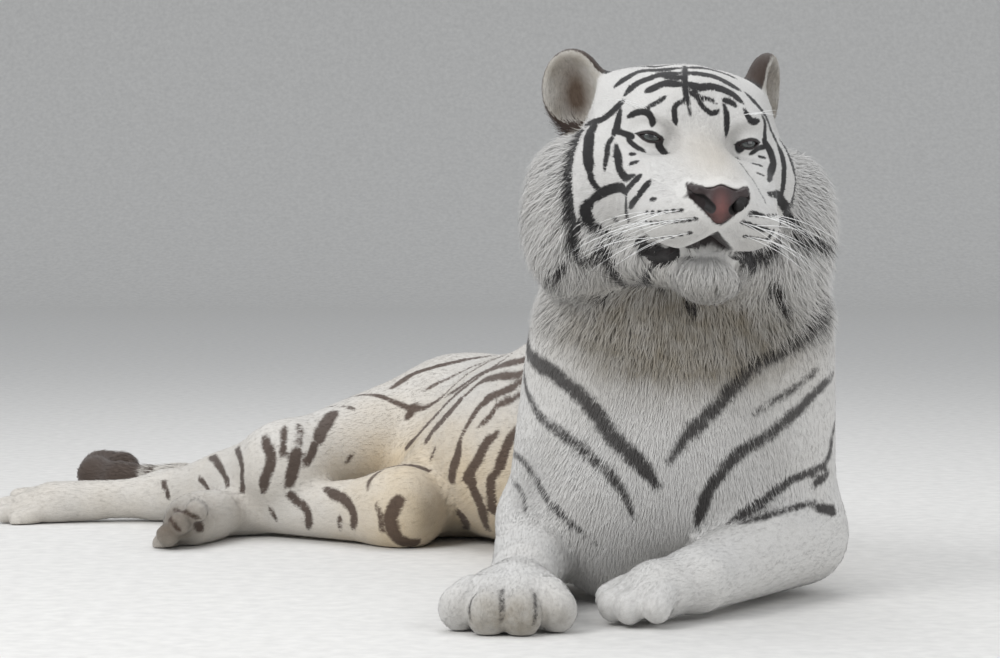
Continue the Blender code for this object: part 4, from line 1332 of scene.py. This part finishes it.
WINGS = Group(0.004, *beside_nose(*both(
    Bone((0.026, -0.133, -0.066), (0.036, -0.121, -0.073), 0.0085, 0.0060),  # over a nostril
    Blob((0.010, -0.140, -0.084), (0.0085, 0.009, 0.014)),  # beside the middle groove
)))
NOSTRILS = Group(0.001, *beside_nose(*both(
    Bone((0.0150, -0.149, -0.0870), (0.0250, -0.140, -0.0790), 0.0062, 0.0078),
    Bone((0.0250, -0.140, -0.0790), (0.0430, -0.123, -0.0690), 0.0072, 0.0036),
)))
GROOVE = Group(0.001, *beside_nose(Bone((0, -0.153, -0.080), (0, -0.149, -0.108), 0.0012, 0.0024)))


def nose_form(p):
    """Field of the nose leather: the front of the face inside the leather's outline."""
    d = melt(form(p) - 0.0008, WINGS.distance(p), 0.008)
    d = carve(d, NOSTRILS.distance(p), 0.003)
    d = carve(d, GROOVE.distance(p), 0.003)
    return -melt(-d, -nose_outline(p), 0.006)


def build_nose(material):
    """The nose leather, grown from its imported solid; nostril and pink are how much each place is so."""
    bm = bmesh.new()
    bm.from_mesh(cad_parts["nose_pad"].data)
    bmesh.ops.remove_doubles(bm, verts=bm.verts, dist=1e-5)
    bmesh.ops.translate(bm, verts=bm.verts, vec=-Vector(HOME))
    nose = object_from("nose_leather", bm)
    for voxel in NOSE_VOXELS:
        remesh(nose, voxel)
        settle(nose.data, nose_form, 3, 0.3, coated=False)
    p = points_of(nose.data)
    set_attribute(nose.data, "nostril", ramp(0.0030, 0.0004, NOSTRILS.distance(p)))
    pink = near_spot(to_head(p), (NOSE_SIDE - 0.002, -0.14, -0.086), (0.010, 0.03, 0.020))
    set_attribute(nose.data, "pink", pink)
    nose.data.shade_smooth()
    nose.data.materials.clear()
    nose.data.materials.append(material)
    return nose


class Surface:
    """The finished skin as arrays: points, triangles, normals and areas, and a tree to look places up in, to
    root the coat on.
    """

    def __init__(self, skin):
        mesh = skin.data
        mesh.calc_loop_triangles()
        self.points = points_of(mesh)
        corners = np.empty(len(mesh.loop_triangles) * 3, np.int32)
        mesh.loop_triangles.foreach_get("vertices", corners)
        self.triangles = corners.reshape(-1, 3)
        normals = np.empty(len(mesh.vertices) * 3, np.float32)
        mesh.vertex_normals.foreach_get("vector", normals)
        self.normals = normals.reshape(-1, 3).astype(float)
        a, b, c = (self.points[self.triangles[:, i]] for i in range(3))
        self.areas = np.linalg.norm(np.cross(b - a, c - a), axis=1) / 2
        self.middles = (a + b + c) / 3
        self.tree = BVHTree.FromPolygons(self.points.tolist(), self.triangles.tolist())

    def normals_at(self, p):
        nearest = [self.tree.find_nearest(Vector(point))[2] for point in p]
        return units(self.normals[self.triangles[nearest]].mean(axis=1))


def unwrap_of(skin):
    """A rough copy of the skin, unwrapped: a tree to look places up in, and its corners' map."""
    copy = new_object("unwrapped", skin.data.copy())
    thin = copy.modifiers.new("thin", "DECIMATE")
    thin.ratio = 0.08
    thin.use_collapse_triangulate = True
    graph = bpy.context.evaluated_depsgraph_get()
    mesh = bpy.data.meshes.new_from_object(copy.evaluated_get(graph))
    copy.modifiers.clear()
    copy.data = mesh
    bpy.context.view_layer.objects.active = copy
    copy.select_set(True)
    bpy.ops.object.mode_set(mode="EDIT")
    bpy.ops.mesh.select_all(action="SELECT")
    bpy.ops.uv.smart_project(angle_limit=math.radians(66), island_margin=0.004)
    bpy.ops.object.mode_set(mode="OBJECT")
    points = points_of(mesh)
    faces = np.array([face.vertices[:] for face in mesh.polygons])
    uv = np.empty(len(mesh.loops) * 2, np.float32)
    mesh.uv_layers.active.uv.foreach_get("vector", uv)
    uv = uv.reshape(-1, 3, 2)
    tree = BVHTree.FromPolygons(points.tolist(), faces.tolist())
    bpy.data.objects.remove(copy)
    return points, faces, uv, tree


def looked_up(p, unwrap):
    """Each point's place on the unwrap."""
    points, faces, uv, tree = unwrap
    found = [tree.find_nearest(Vector(point)) for point in p]
    index = np.array([hit[2] for hit in found])
    at = np.array([hit[0][:] for hit in found])
    a, b, c = (points[faces[index][:, i]] for i in range(3))
    whole = np.cross(b - a, c - a)
    size = (whole * whole).sum(1) + 1e-18
    second = (np.cross(at - a, c - a) * whole).sum(1) / size
    third = (np.cross(b - a, at - a) * whole).sum(1) / size
    shares = np.stack([1 - second - third, second, third], 1)
    return (uv[index] * shares[:, :, None]).sum(axis=1)


# ---- coat ----

PATCH = 0.003  # of the map that one tuft takes
SPREAD = {1: 0.11, 2: 0.20}  # of the tufts' headings in radians, for short hair and long
ROOTED = 0.0012  # how deep a tuft starts in the skin
STRAIGHT = 0.2  # how far long hair leaves the skin's own curve
TONES = {1: (0.93, 1.03), 2: (0.84, 1.04)}  # of their brightness, likewise
SHORT, LONG = (0.35,), (0.15, 0.55)  # where along a tuft its rings are
PIECES = {  # the hair's rings and the kinds of coat in each
    "coat_face": (SHORT, "face"), "coat_muzzle": (SHORT, "muzzle"), "coat_chin": (LONG, "chin"),
    "coat_ears": (SHORT, "ears"),
    "coat_ruff": (LONG, "ruff"), "coat_neck": (LONG, "neck"), "coat_breast": (SHORT, "breast"),
    "coat_trunk": (SHORT, "trunk"), "coat_legs": (SHORT, "limbs"), "coat_feet": (SHORT, "feet"),
    "coat_tail": (SHORT, "tail"),
}
MOST_TUFTS = {SHORT: 32000, LONG: 16000}  # in one piece
# Least and most of a tuft's sizes, as shares of its kind's
LENGTHS, HALVES, DEPTHS = (0.65, 1.3), (0.35, 0.65), (0.55, 1.15)
BEND = 0.10  # spread of a tuft's bow to the side, and of its colour's shift along it, as shares of its length
FLATNESS = 0.45  # how thick a tuft is, as a share of its width
BARE = 0.3  # of bare skin, from which no tuft grows
LOWEST_ROOT = 0.004  # over the floor


def template_tuft(rings):
    """One three-sided blade, 1 long: how far along each vertex is, which way it stands out, and the faces."""
    bm = bmesh.new()
    bmesh.ops.create_circle(bm, segments=3, radius=1)
    loop = bm.edges[:]
    bmesh.ops.translate(bm, verts=bm.verts, vec=(0, 0, rings[0]))
    root = bmesh.ops.poke(bm, faces=bmesh.ops.edgenet_fill(bm, edges=loop)["faces"])["verts"][0]
    root.co = (0, 0, 0)
    for ring in rings[1:]:
        drawn = bmesh.ops.extrude_edge_only(bm, edges=loop)["geom"]
        loop = [part for part in drawn if isinstance(part, bmesh.types.BMEdge)]
        for vert in {vert for edge in loop for vert in edge.verts}:
            vert.co.z = ring
    tip = bmesh.ops.poke(bm, faces=bmesh.ops.edgenet_fill(bm, edges=loop)["faces"])["verts"][0]
    tip.co = (0, 0, 1)
    bmesh.ops.triangulate(bm, faces=bm.faces)
    bmesh.ops.recalc_face_normals(bm, faces=bm.faces)
    bm.verts.index_update()
    points = np.array([vert.co[:] for vert in bm.verts])
    faces = np.array([[vert.index for vert in face.verts] for face in bm.faces])
    bm.free()
    return points[:, 2], points[:, :2], faces


def rooted(surface, amount, rng):
    """Places spread evenly over the skin, by how much hair each triangle carries."""
    total = np.cumsum(surface.areas * amount)
    marks = np.arange(0.5, total[-1])
    triangle = np.searchsorted(total, marks)
    shares = rng.dirichlet((1, 1, 1), len(triangle))
    corners = surface.triangles[triangle]
    return (surface.points[corners] * shares[:, :, None]).sum(axis=1)


def followed(surface, roots, lies, lengths, stations):
    """Where tufts pass over the skin: its points and normals, and the tufts' headings, at each station."""
    at, way, before, rows = roots, lies, 0, []
    for station in stations:
        ahead = at + way * (lengths * (station - before))[:, None]
        found = [surface.tree.find_nearest(Vector(point)) for point in ahead]
        at = np.array([hit[0][:] for hit in found])
        corners = surface.triangles[[hit[2] for hit in found]]
        normals = units(surface.normals[corners].mean(axis=1))
        way = units(way - normals * (way * normals).sum(1)[:, None])
        rows.append((at, normals, way))
        before = station
    return [np.stack(each, axis=1) for each in zip(*rows)]


def blades(name, rings, surface, lines, roots, lies, sizes, uv, rng):
    """All the tufts of one piece as one mesh; each vertex takes its colours from the skin under it."""
    along, out, faces = template_tuft(rings)
    stations = (0, *rings, 1)
    spot = np.searchsorted(stations, along - 1e-6)  # of each vertex
    count, corners = len(roots), len(along)
    turn = rng.normal(0, SPREAD[len(rings)], count)[:, None]
    normals = surface.normals_at(roots)
    lies = units(lies - normals * (lies * normals).sum(1)[:, None])
    lies = lies * np.cos(turn) + np.cross(lies, normals) * np.sin(turn)
    length = sizes[:, 1] * rng.uniform(*LENGTHS, count)
    half = sizes[:, 2] * rng.uniform(*HALVES, count)
    depth = sizes[:, 0] * rng.uniform(*DEPTHS, count)
    bend = rng.normal(0, BEND, count) * length
    ground, normals, ways = followed(surface, roots, lies, length, stations)
    shift = rng.normal(0, BEND, count) * length
    seen = ground if rings == SHORT else ground[:, 2:3]  # long hair is of one colour
    facts = markings((seen + ways[:, :seen.shape[1]] * shift[:, None, None]).reshape(-1, 3), lines)
    straight = roots[:, None] + ways[:, :1] * length[:, None, None] * np.array(stations)[:, None]
    ground = ground + (straight - ground) * (0 if rings == SHORT else STRAIGHT)
    ground, normals, ways = ground[:, spot], normals[:, spot], ways[:, spot]
    side = np.cross(ways, normals)
    rise = depth[:, None] * (1.7 * along - 0.7 * along**2) - ROOTED
    thick = half[:, None] * np.where(along < rings[0] + 0.01, 1.0, 0.8)
    points = (ground + normals * (rise + thick * out[:, 0] * FLATNESS)[:, :, None]
              + side * (bend[:, None] * along**2 + thick * out[:, 1])[:, :, None])
    points[:, :, 2] = np.maximum(points[:, :, 2], TUFT_CLEAR)
    mesh = bpy.data.meshes.new(name)
    mesh.vertices.add(count * corners)
    mesh.vertices.foreach_set("co", points.astype(np.float32).ravel())
    loops = (faces[None] + np.arange(count)[:, None, None] * corners).reshape(-1)
    mesh.loops.add(len(loops))
    mesh.loops.foreach_set("vertex_index", loops.astype(np.int32))
    mesh.polygons.add(len(loops) // 3)
    mesh.polygons.foreach_set("loop_start", np.arange(0, len(loops), 3, dtype=np.int32))
    mesh.update(calc_edges=True)
    for key, values in facts.items():
        each = values.reshape(count, -1)
        each = each[:, spot] if each.shape[1] > 1 else np.repeat(each, corners, axis=1)
        set_attribute(mesh, key, each.ravel())
    set_attribute(mesh, "tone", np.repeat(rng.uniform(*TONES[len(rings)], count), corners))
    set_attribute(mesh, "along", np.tile(along, count))
    across = np.stack([out[:, 1] * 0.5, along - 0.5], 1) * PATCH
    layer = mesh.uv_layers.new(name="OFBake")
    corner_uv = (uv[:, None, :] + across[None]).reshape(-1, 2)[loops]
    layer.uv.foreach_set("vector", corner_uv.astype(np.float32).ravel())
    mesh.shade_smooth()
    lift = normals * 3.0 + normals * out[:, :1] + side * out[:, 1:]
    mesh.normals_split_custom_set_from_vertices(units(lift.reshape(-1, 3)).tolist())
    return new_object(name, mesh)


def build_coat(surface, lines, unwrap, material):
    rng = np.random.default_rng(SEED)
    sizes, lies, kinds = growth(surface.middles)
    amount = sizes[:, 3] / (0.5 * sizes[:, 1] * sizes[:, 2])
    amount[surface.middles[:, 2] < LOWEST_ROOT] = 0
    roots = rooted(surface, amount, rng)
    roots = roots[bare_skin(roots) < BARE]
    sizes, lies, kinds = growth(roots)
    uv = looked_up(roots, unwrap)
    made = []
    for name, (rings, coat) in PIECES.items():
        own = np.flatnonzero(kinds == [each.name for each in COATS].index(coat))
        for part, chosen in enumerate(np.array_split(own, math.ceil(len(own) / MOST_TUFTS[rings]))):
            piece = blades(f"{name}_{part + 1}", rings, surface, lines, roots[chosen], lies[chosen],
                           sizes[chosen], uv[chosen], rng)
            piece.data.materials.append(material)
            made.append(piece)
    return made


# ---- eyes and whiskers ----


def build_eye(side, material):
    """A ball with a clear bulge over the iris; ring is how far round from the gaze each vertex is."""
    bm = bmesh.new()
    bmesh.ops.create_uvsphere(bm, u_segments=64, v_segments=48, radius=EYE_RADIUS)
    rows = eye_axes(side)
    for vert in bm.verts:
        off = math.acos(max(-1, min(1, vert.co.z / EYE_RADIUS)))
        vert.co *= 1 + 0.07 * max(0, 1 - (off / 0.62) ** 2) ** 1.5
    gaze = Matrix((rows[0], rows[2], -rows[1])).transposed()
    if gaze.determinant() < 0:
        gaze = Matrix((-rows[0], rows[2], -rows[1])).transposed()
    bmesh.ops.transform(bm, matrix=gaze.to_4x4(), verts=bm.verts)
    ring = [math.acos(max(-1, min(1, vert.co.normalized().dot(Vector(-rows[1]))))) for vert in bm.verts]
    bmesh.ops.translate(bm, verts=bm.verts, vec=Vector(EYE_AT[side]))
    bmesh.ops.recalc_face_normals(bm, faces=bm.faces)
    eye = object_from("eyeball_" + ("left" if side > 0 else "right"), bm)
    set_attribute(eye.data, "ring", ring)
    eye.data.shade_smooth()
    eye.data.materials.append(material)
    return eye


WHISKER_THICK = 0.00045  # half of it, at the root
BROW_ROOTS = [(side * turn - 4, 33) for side in (1, -1) for turn in (31, 28, 25)]
BROW_LONG = 0.55  # of a whisker's length


def build_whiskers(surface, material, length):
    """Long tapering hairs from the rows on the pads, and a few over each eye."""
    rng = np.random.default_rng(SEED + 1)
    bm = bmesh.new()
    starts = [(root, 1.0) for root in whisker_roots()]
    starts += [(root, BROW_LONG) for root in BROW_ROOTS]
    for (turn, rise), long in starts:
        side = 1 if turn > 0 else -1
        root = on_skin(surface.tree, FACE, (turn, rise))
        away = HEAD.T @ unit((side * (1.0 + rng.normal(0, 0.15)), -0.25 + rng.normal(0, 0.1),
                              (0.5 if long < 1 else -0.15) + rng.normal(0, 0.12)))
        reach = length * long * rng.uniform(0.5, 1.1)
        sag = HEAD.T @ np.array((0, 0.35, -0.35))
        before = None
        for t in np.linspace(0, 1, 8):
            at = root + away * reach * (t - 0.02) + sag * reach * t * t * 0.8
            rows = axes(unit(away + sag * 1.6 * t), (0, 0, 1))
            turned = Matrix(np.stack([rows[0], rows[2], rows[1]]).T).to_quaternion()
            place = Matrix.LocRotScale(Vector(at), turned, (1, 1, 1))
            ring = bmesh.ops.create_circle(bm, segments=4, radius=WHISKER_THICK * (1.05 - t), matrix=place,
                                           cap_ends=bool(before is None or t == 1))
            edges = {edge for vert in ring["verts"] for edge in vert.link_edges}
            edges = [edge for edge in edges if all(vert in ring["verts"] for vert in edge.verts)]
            if before is not None:
                bmesh.ops.bridge_loops(bm, edges=before + edges)
            before = edges
    bmesh.ops.recalc_face_normals(bm, faces=bm.faces)
    whiskers = object_from("whiskers", bm)
    whiskers.data.shade_smooth()
    whiskers.data.materials.append(material)
    return whiskers


# ---- stage ----


def look_from(thing, at, towards):
    thing.location = at
    thing.rotation_euler = (Vector(towards) - Vector(at)).to_track_quat("-Z", "Y").to_euler()


FLOOR_HALF = 9.0
FLOOR_AHEAD = 3.0  # how far its middle is moved back, away from the camera
CURVE = 3.0  # radius of the bend between floor and backdrop
WALL = 5.0  # height of the backdrop over the bend


def build_stage(settings):
    bm = bmesh.new()
    bmesh.ops.create_grid(bm, x_segments=1, y_segments=1, size=FLOOR_HALF)
    bmesh.ops.translate(bm, verts=bm.verts, vec=(0, FLOOR_AHEAD, 0))
    end = FLOOR_HALF + FLOOR_AHEAD
    back = [edge for edge in bm.edges if all(vert.co.y > end - 1 for vert in edge.verts)]
    bmesh.ops.spin(bm, geom=back, cent=(0, end, CURVE), axis=(1, 0, 0), angle=math.pi / 2, steps=16)
    top = [edge for edge in bm.edges if all(vert.co.z > CURVE - 0.01 for vert in edge.verts)]
    raised = bmesh.ops.extrude_edge_only(bm, edges=top)["geom"]
    drawn = [part for part in raised if isinstance(part, bmesh.types.BMVert)]
    bmesh.ops.translate(bm, verts=drawn, vec=(0, 0, WALL))
    bmesh.ops.remove_doubles(bm, verts=bm.verts, dist=1e-4)
    bmesh.ops.recalc_face_normals(bm, faces=bm.faces)
    floor = object_from("studio_floor", bm)
    floor.data.shade_smooth()
    floor.data.materials.append(plain_material("studio_floor", settings.floor_colour, 0.9, 40.0, 0.0001))
    for name, at, size, watts in (
        ("key", (-2.6, -3.4, 3.2), 2.4, settings.key_watts),
        ("fill", (3.2, -2.6, 1.8), 3.0, settings.fill_watts),
        ("top", (0.0, 0.6, 3.8), 3.4, settings.top_watts)):
        light = bpy.data.objects.new(name, bpy.data.lights.new(name, "AREA"))
        light.data.size, light.data.energy = size, watts
        bpy.context.scene.collection.objects.link(light)
        look_from(light, at, (0, 0, 0.3))
    world = bpy.data.worlds.new("studio")
    world.use_nodes = True
    sky = world.node_tree.nodes["Background"]
    sky.inputs["Color"].default_value = (*settings.sky_colour, 1)
    sky.inputs["Strength"].default_value = settings.sky_strength
    bpy.context.scene.world = world
    bpy.context.scene.view_settings.view_transform = "Standard"
    camera = bpy.data.objects.new("camera", bpy.data.cameras.new("camera"))
    bpy.context.scene.collection.objects.link(camera)
    camera.data.lens = settings.lens
    camera.location = Vector(HOME) + Vector((0, -settings.distance, settings.height))
    camera.rotation_euler = (math.pi / 2 - settings.tilt, 0, 0)
    bpy.context.scene.camera = camera


# ---- add-on ----

STATE = {}  # what one operator makes and the next needs


def size_property(name, description, default, low=0.0, unit="LENGTH"):
    return bpy.props.FloatProperty(name=name, description=description, default=default, min=low, unit=unit)


def colour_property(name, description, default):
    return bpy.props.FloatVectorProperty(
        name=name, description=description, default=default, size=3, min=0, max=1, subtype="COLOR")


class TigerColours(bpy.types.PropertyGroup):
    white: colour_property("White", "Ground of the coat", (0.69, 0.69, 0.685))
    cream: colour_property("Cream", "Stained coat of the flanks and belly", (0.72, 0.60, 0.43))
    # Painted shade under the chin, along the nose's bridge and on the paws, and the ears' grey-beige tint
    shade_and_ear_tint: colour_property("Throat", "Shaded fur under the chin", (0.29, 0.255, 0.20))
    # Dirt on the belly and the left hind paw, and painted shade deep in the ears' hollows
    dirt_and_shade: colour_property("Stain", "Dirt on the belly, and the dark of the ears", (0.090, 0.060, 0.040))
    dark: colour_property("Dark", "Marks of the head and breast", (0.013, 0.012, 0.013))
    brown: colour_property("Brown", "Marks of the flanks", (0.080, 0.045, 0.029))
    lip: colour_property("Lips", "Bare skin of the lips and lids", (0.022, 0.014, 0.014))
    # Iris and ball are given darker than the eye's own pale blue-grey: painted shade under the brow and in
    # the eyes' corners
    iris: colour_property("Iris", "Middle of the iris", (0.055, 0.066, 0.062))
    iris_inner: colour_property("Iris, inner", "Round the pupil", (0.032, 0.036, 0.034))
    iris_rim: colour_property("Iris, rim", "Edge of the iris", (0.016, 0.017, 0.018))
    eye_white: colour_property("Eye white", "Ball outside the iris", (0.018, 0.012, 0.011))
    nose: colour_property("Nose", "Middle of the nose's leather", (0.180, 0.066, 0.060))
    nose_dark: colour_property("Nose, darker", "Outer parts of the leather", (0.022, 0.011, 0.011))
    # Painted shade inside the nostrils
    nostril: colour_property("Nostril", "Inside of the nostrils", (0.006, 0.004, 0.004))
    whisker: colour_property("Whiskers", "Long hairs of the muzzle and brows", (0.85, 0.85, 0.84))


class TigerWhiskers(bpy.types.PropertyGroup):
    length: size_property("Length", "Of the longest whisker", 0.115)


class TigerStage(bpy.types.PropertyGroup):
    floor_colour: colour_property("Floor", "Colour of the floor and backdrop", (0.70, 0.69, 0.67))
    sky_colour: colour_property("Sky", "Colour of the light from all round", (0.93, 0.96, 1.0))
    sky_strength: size_property("Sky strength", "Of the light from all round", 0.58, unit="NONE")
    key_watts: size_property("Key light", "Power of the main light", 130.0, unit="POWER")
    fill_watts: size_property("Fill light", "Power of the light at the other side", 40.0, unit="POWER")
    top_watts: size_property("Top light", "Power of the light overhead", 60.0, unit="POWER")
    lens: bpy.props.FloatProperty(name="Lens", description="Focal length in mm", default=104.4, min=1)
    distance: size_property("Distance", "From the right elbow to the camera", 3.82)
    height: size_property("Height", "Of the camera", 0.498)
    tilt: size_property("Tilt", "Of the camera, downwards", math.radians(2.113), unit="ROTATION")


class TIGER_OT_stage(bpy.types.Operator):
    """Makes the floor, the lights and the camera"""

    bl_idname = "tiger.stage"
    bl_label = "Stage"

    def execute(self, context):
        build_stage(context.scene.tiger_stage)
        return {"FINISHED"}


class TIGER_OT_skin(bpy.types.Operator):
    """Makes one skin over all the nodes of flesh"""

    bl_idname = "tiger.skin"
    bl_label = "Skin"

    def execute(self, context):
        skin = build_skin()
        STATE["surface"] = Surface(skin)
        STATE["lines"] = marks_on(STATE["surface"].tree)
        STATE["unwrap"] = unwrap_of(skin)
        facts = markings(STATE["surface"].points, STATE["lines"])
        facts["bare"] = bare_skin(STATE["surface"].points)
        for key, values in facts.items():
            set_attribute(skin.data, key, values)
        skin.data.materials.clear()
        skin.data.materials.append(coat_material("skin", context.scene.tiger_colours, skin=True))
        brought_home(skin, "coat", *FLESH)
        return {"FINISHED"}


class TIGER_OT_eyes(bpy.types.Operator):
    """Makes both eyes"""

    bl_idname = "tiger.eyes"
    bl_label = "Eyes"

    def execute(self, context):
        material = eye_material(context.scene.tiger_colours)
        for side, node in ((1, "eye_left"), (-1, "eye_right")):
            brought_home(build_eye(side, material), "eye", node)
        return {"FINISHED"}


class TIGER_OT_nose(bpy.types.Operator):
    """Makes the nose leather"""

    bl_idname = "tiger.nose"
    bl_label = "Nose"

    def execute(self, context):
        brought_home(build_nose(nose_material(context.scene.tiger_colours)), "nose", "nose_pad")
        return {"FINISHED"}


class TIGER_OT_coat(bpy.types.Operator):
    """Lays the coat over the skin, in tufts"""

    bl_idname = "tiger.coat"
    bl_label = "Coat"

    def execute(self, context):
        material = coat_material("coat", context.scene.tiger_colours)
        for piece in build_coat(STATE["surface"], STATE["lines"], STATE["unwrap"], material):
            brought_home(piece, "coat")
        return {"FINISHED"}


class TIGER_OT_whiskers(bpy.types.Operator):
    """Makes the whiskers and brow hairs"""

    bl_idname = "tiger.whiskers"
    bl_label = "Whiskers"

    def execute(self, context):
        settings = context.scene.tiger_whiskers
        material = plain_material("whisker", context.scene.tiger_colours.whisker, 0.4)
        brought_home(build_whiskers(STATE["surface"], material, settings.length), "whisker")
        return {"FINISHED"}


OPERATORS = (TIGER_OT_stage, TIGER_OT_skin, TIGER_OT_eyes, TIGER_OT_nose, TIGER_OT_coat, TIGER_OT_whiskers)
GROUPS = {"tiger_colours": TigerColours, "tiger_whiskers": TigerWhiskers, "tiger_stage": TigerStage}


class TIGER_PT_panel(bpy.types.Panel):
    """Lists the pieces of the tiger"""

    bl_idname = "TIGER_PT_panel"
    bl_label = "White tiger"
    bl_space_type = "VIEW_3D"
    bl_region_type = "UI"
    bl_category = "Tiger"

    def draw(self, context):
        for operator in OPERATORS:
            self.layout.operator(operator.bl_idname)


CLASSES = (*GROUPS.values(), *OPERATORS, TIGER_PT_panel)


def register():
    for made in CLASSES:
        bpy.utils.register_class(made)
    for name, group in GROUPS.items():
        setattr(bpy.types.Scene, name, bpy.props.PointerProperty(type=group))


def unregister():
    for name in GROUPS:
        delattr(bpy.types.Scene, name)
    for made in reversed(CLASSES):
        bpy.utils.unregister_class(made)


def main():
    register()
    bpy.ops.tiger.stage()
    bpy.ops.tiger.skin()
    bpy.ops.tiger.eyes()
    bpy.ops.tiger.nose()
    bpy.ops.tiger.coat()
    bpy.ops.tiger.whiskers()


if __name__ == "__main__":
    main()
